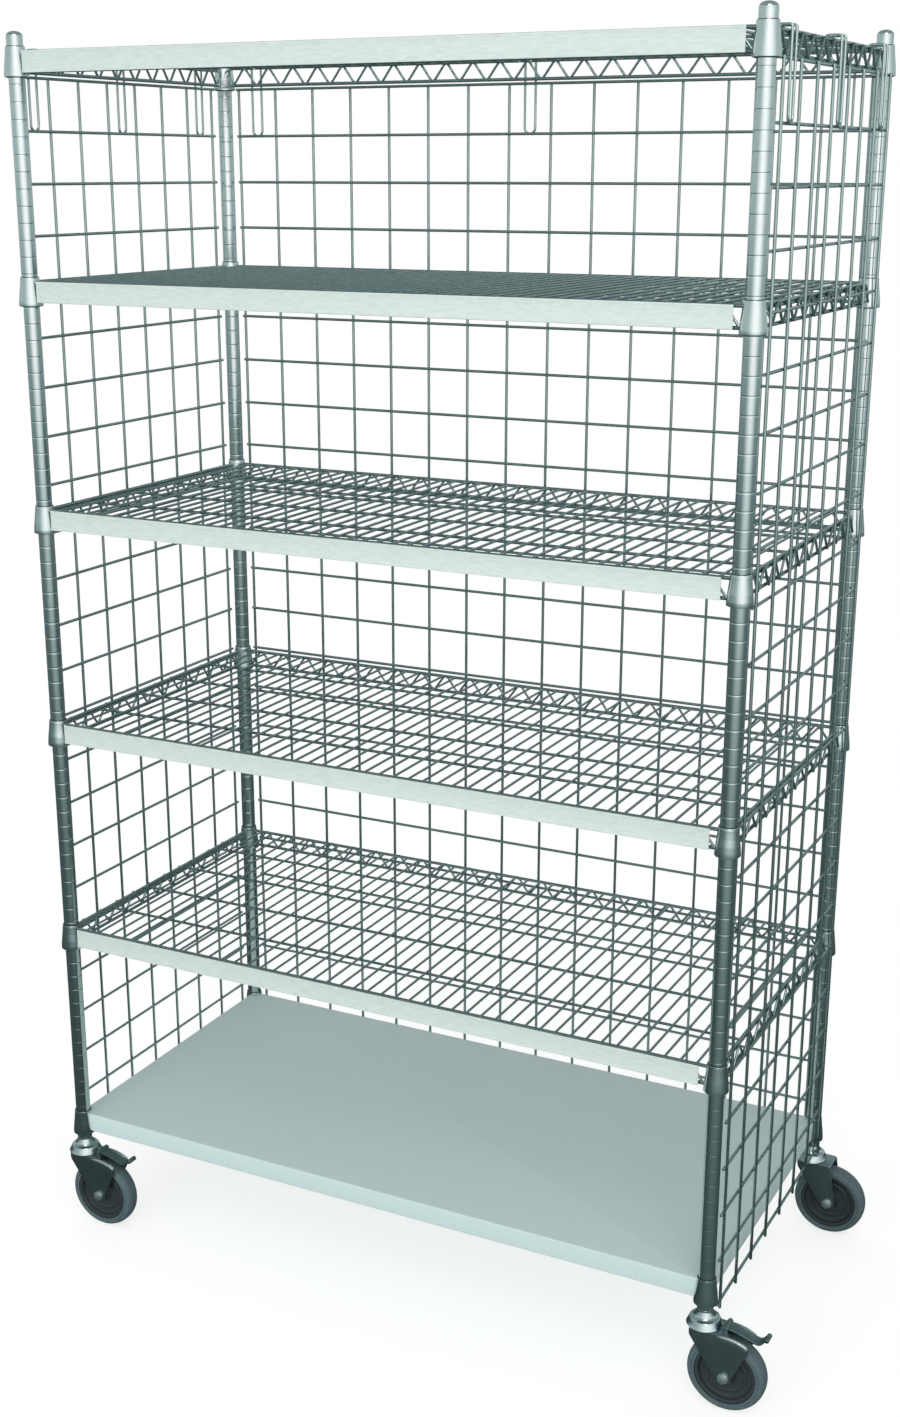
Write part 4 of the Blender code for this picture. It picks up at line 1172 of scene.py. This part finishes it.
# %% [markdown]
# The cart stands in a plain white studio. The world is white to the camera and to mirrors,
# and lights the cart at a level where a colour renders about as it is written. The floor is
# pale, keeps the cart's soft shadow, and runs out into the white of the world. Plated steel
# shows only what stands around it, so a photographer puts a tent of grey paper round the
# set. This one is dark underfoot and overhead and pale along the horizon, palest in front,
# so that a round tube gets a bright streak between two dark edges and darkens on its way
# down, and a level wire is dark on top. Only mirrors see it.

# %% Studio
STUDIO_LEVEL = 0.62
FLOOR_HALF = 60.0
# To the camera the floor glows a little and is half mixed with white, so its shadow stays pale.
FLOOR_LIFT = 0.46
SHADOW_LIFT = 0.5
# It turns white between these two distances in metres.
WHITE_FROM = 2.2
WHITE_TO = 5.0
TENT_RADIUS = 14.0
TENT_HEIGHT = 8.0
TENT_LIFT = 0.5 * MM
# The tent glows more with every metre out over the floor, and TENT_CLIMB times as fast going up.
TENT_CLIMB = 7.0
# At the sides and behind, the glow has a start, a gain by the metre and a most.
SIDE_START = 0.06
SIDE_GAIN = 0.0165
SIDE_MOST = 0.5
# In front it is a gain times the distance to a power, up to a most.
FRONT_GAIN = 0.14
FRONT_BEND = 0.75
FRONT_MOST = 1.15
# The front lies round this direction, out to where the cosine falls to FRONT_EDGE.
TENT_AIM = math.radians(-52)
FRONT_EDGE = 0.31
FRONT_FOCUS = 2.0
ROOF_LEVEL = 0.28
# The dim parts of the paper are a cool green-blue, which gives dark steel its colour.
SHADE_TINT = (0.70, 1.0, 1.03, 1)
LAMP_SIZE = 3.0
LAMP_AIM = Vector((0, 0, 1.0))
# A lamp's name, place in metres, power in watts, and whether mirrors show it.
LAMPS = (("key_lamp", (2.6, -4.4, 5.6), 90, True), ("fill_lamp", (-1.0, -6.0, 1.6), 95, False))


def seen_rays(tree):
    """Return a socket that is 1 for rays from the camera, a mirror or a clear part, else 0."""
    path = add_node(tree, "ShaderNodeLightPath", {}, {})
    seen = path.outputs["Is Camera Ray"]
    for name in ("Is Glossy Ray", "Is Transmission Ray"):
        seen = add_node(tree, "ShaderNodeMath", {"operation": "MAXIMUM"},
                        {0: seen, 1: path.outputs[name]}).outputs["Value"]
    return seen


def stage_piece(name, mesh, surface):
    """Add a piece of the studio, which is no part of the cart."""
    mesh.materials.append(surface)
    piece = bpy.data.objects.new(name, mesh)
    bpy.context.scene.collection.objects.link(piece)
    return piece


def empty_surface(name):
    """Make a material with an empty node tree."""
    surface = bpy.data.materials.new(name)
    surface.use_nodes = True
    surface.node_tree.nodes.clear()
    return surface, surface.node_tree


def studio_world():
    """White for the camera and for mirrors, and a plain level of light for the rest."""
    world = bpy.data.worlds.new("white_studio")
    world.use_nodes = True
    tree = world.node_tree
    tree.nodes.clear()
    strength = add_node(tree, "ShaderNodeMapRange", {},
                        {"Value": seen_rays(tree), "To Min": STUDIO_LEVEL, "To Max": 1.0})
    light = add_node(tree, "ShaderNodeBackground", {}, {"Color": (1, 1, 1, 1),
                                                        "Strength": strength.outputs["Result"]})
    add_node(tree, "ShaderNodeOutputWorld", {}, {"Surface": light.outputs["Background"]})
    bpy.context.scene.world = world


def studio_floor():
    """A pale floor that keeps the cart's shadow and turns white away from it."""
    surface, tree = empty_surface("pale_floor")
    seen = seen_rays(tree)
    place = add_node(tree, "ShaderNodeTexCoord", {}, {}).outputs["Object"]
    reach = add_node(tree, "ShaderNodeVectorMath", {"operation": "LENGTH"}, {0: place})
    far = add_node(tree, "ShaderNodeMapRange", {"interpolation_type": "SMOOTHSTEP"},
                   {"Value": reach.outputs["Value"], "From Min": WHITE_FROM, "From Max": WHITE_TO,
                    "To Min": SHADOW_LIFT})
    paint = add_node(tree, "ShaderNodeBsdfDiffuse", {}, {"Color": linear("#E6EAE9")})
    lift = add_node(tree, "ShaderNodeMath", {"operation": "MULTIPLY"}, {0: seen, 1: FLOOR_LIFT})
    glow = add_node(tree, "ShaderNodeEmission", {}, {"Strength": lift.outputs["Value"]})
    near = add_node(tree, "ShaderNodeAddShader", {}, {0: paint.outputs["BSDF"],
                                                      1: glow.outputs["Emission"]})
    white = add_node(tree, "ShaderNodeEmission", {}, {"Strength": 1.0})
    share = add_node(tree, "ShaderNodeMath", {"operation": "MULTIPLY"},
                     {0: seen, 1: far.outputs["Result"]})
    blend = add_node(tree, "ShaderNodeMixShader", {}, {0: share.outputs["Value"],
                                                       1: near.outputs["Shader"],
                                                       2: white.outputs["Emission"]})
    add_node(tree, "ShaderNodeOutputMaterial", {}, {"Surface": blend.outputs["Shader"]})
    work = bmesh.new()
    bmesh.ops.create_grid(work, x_segments=1, y_segments=1, size=FLOOR_HALF)
    stage_piece("floor", mesh_of(work, "floor"), surface)


def tent_surface():
    """Grey paper that glows in mirrors: brighter far off and up the wall, dark overhead."""
    surface, tree = empty_surface("grey_tent_paper")
    place = add_node(tree, "ShaderNodeTexCoord", {}, {}).outputs["Object"]
    height = add_node(tree, "ShaderNodeSeparateXYZ", {}, {"Vector": place}).outputs["Z"]
    level = add_node(tree, "ShaderNodeVectorMath", {"operation": "MULTIPLY"},
                     {0: place, 1: (1, 1, 0)}).outputs["Vector"]
    reach = add_node(tree, "ShaderNodeVectorMath", {"operation": "LENGTH"}, {0: level})
    away = add_node(tree, "ShaderNodeMath", {"operation": "MULTIPLY_ADD"},
                    {0: height, 1: TENT_CLIMB, 2: reach.outputs["Value"]}).outputs["Value"]
    side = away
    for operation, number in (("MULTIPLY", SIDE_GAIN), ("ADD", SIDE_START), ("MINIMUM", SIDE_MOST)):
        side = add_node(tree, "ShaderNodeMath", {"operation": operation},
                        {0: side, 1: number}).outputs["Value"]
    front = away
    for operation, number in (("POWER", FRONT_BEND), ("MULTIPLY", FRONT_GAIN), ("MINIMUM", FRONT_MOST)):
        front = add_node(tree, "ShaderNodeMath", {"operation": operation},
                         {0: front, 1: number}).outputs["Value"]
    way = add_node(tree, "ShaderNodeVectorMath", {"operation": "NORMALIZE"}, {0: level})
    along = add_node(tree, "ShaderNodeVectorMath", {"operation": "DOT_PRODUCT"},
                     {0: way.outputs["Vector"], 1: (math.cos(TENT_AIM), math.sin(TENT_AIM), 0)})
    spread = add_node(tree, "ShaderNodeMapRange", {},
                      {"Value": along.outputs["Value"], "From Min": FRONT_EDGE})
    lobe = add_node(tree, "ShaderNodeMath", {"operation": "POWER"},
                    {0: spread.outputs["Result"], 1: FRONT_FOCUS})
    wall = add_node(tree, "ShaderNodeMix", {}, {0: lobe.outputs["Value"], 2: side, 3: front})
    over = add_node(tree, "ShaderNodeMath", {"operation": "GREATER_THAN"},
                    {0: height, 1: TENT_HEIGHT - TENT_LIFT})
    glow = add_node(tree, "ShaderNodeMix", {}, {0: over.outputs["Value"], 2: wall.outputs[0],
                                                3: ROOF_LEVEL})
    colour = add_node(tree, "ShaderNodeMix", {"data_type": "RGBA"},
                      {0: glow.outputs[0], 6: SHADE_TINT, 7: (1, 1, 1, 1)})
    light = add_node(tree, "ShaderNodeEmission", {}, {"Color": colour.outputs[2],
                                                      "Strength": glow.outputs[0]})
    add_node(tree, "ShaderNodeOutputMaterial", {}, {"Surface": light.outputs["Emission"]})
    return surface


def grey_tent():
    """Stand the tent round the set: a disc just over the floor, a wall and a roof."""
    drum = cylinder(TENT_RADIUS, TENT_LIFT, TENT_HEIGHT, sides=64)
    tent = stage_piece("grey_tent", drum, tent_surface())
    tent.visible_camera = False
    tent.visible_diffuse = False
    tent.visible_shadow = False
    tent.visible_transmission = False


def soft_lamp(name, place, power, in_mirrors):
    """Add a square soft lamp that looks at the middle of the cart."""
    lamp = bpy.data.lights.new(name, "AREA")
    lamp.shape = "SQUARE"
    lamp.size = LAMP_SIZE
    lamp.energy = power
    item = bpy.data.objects.new(name, lamp)
    item.location = place
    aim = LAMP_AIM - Vector(place)
    item.rotation_euler = aim.to_track_quat("-Z", "Y").to_euler()
    item.visible_glossy = in_mirrors
    bpy.context.scene.collection.objects.link(item)


studio_world()
studio_floor()
grey_tent()
for lamp_facts in LAMPS:
    soft_lamp(*lamp_facts)

# %% [markdown]
# The camera repeats the photograph's view. It was worked out from the posts, shelves and
# panels in the picture: it stands 2.7 m in front of the cart's middle and 1.4 m to its
# right, at 1.84 m, turned 27 degrees and tipped 17.5 degrees down. The small shift keeps
# the picture's crop, whose middle isn't quite where the lens looks.

# %% Camera
PHOTO_HEIGHT = 1417
FOCAL_PIXELS = 1868.7
SENSOR = 36.0
CAMERA_PLACE = Vector((1.360, -2.686, 1.835))
CAMERA_YAW = 27.02
CAMERA_DOWN = 17.54
SHIFT_PIXELS = (7.9, 51.1)

camera_data = bpy.data.cameras.new("photo_camera")
camera_data.sensor_width = SENSOR
camera_data.lens = SENSOR * FOCAL_PIXELS / PHOTO_HEIGHT
camera_data.shift_x = SHIFT_PIXELS[0] / PHOTO_HEIGHT
camera_data.shift_y = SHIFT_PIXELS[1] / PHOTO_HEIGHT
camera = bpy.data.objects.new("photo_camera", camera_data)
camera.location = CAMERA_PLACE + PLAN_MIDDLE
camera.rotation_euler = (math.radians(90 - CAMERA_DOWN), 0, math.radians(CAMERA_YAW))
bpy.context.scene.collection.objects.link(camera)
bpy.context.scene.camera = camera
bpy.context.scene.view_settings.view_transform = "Standard"
print("lens in mm:", round(camera_data.lens, 2))
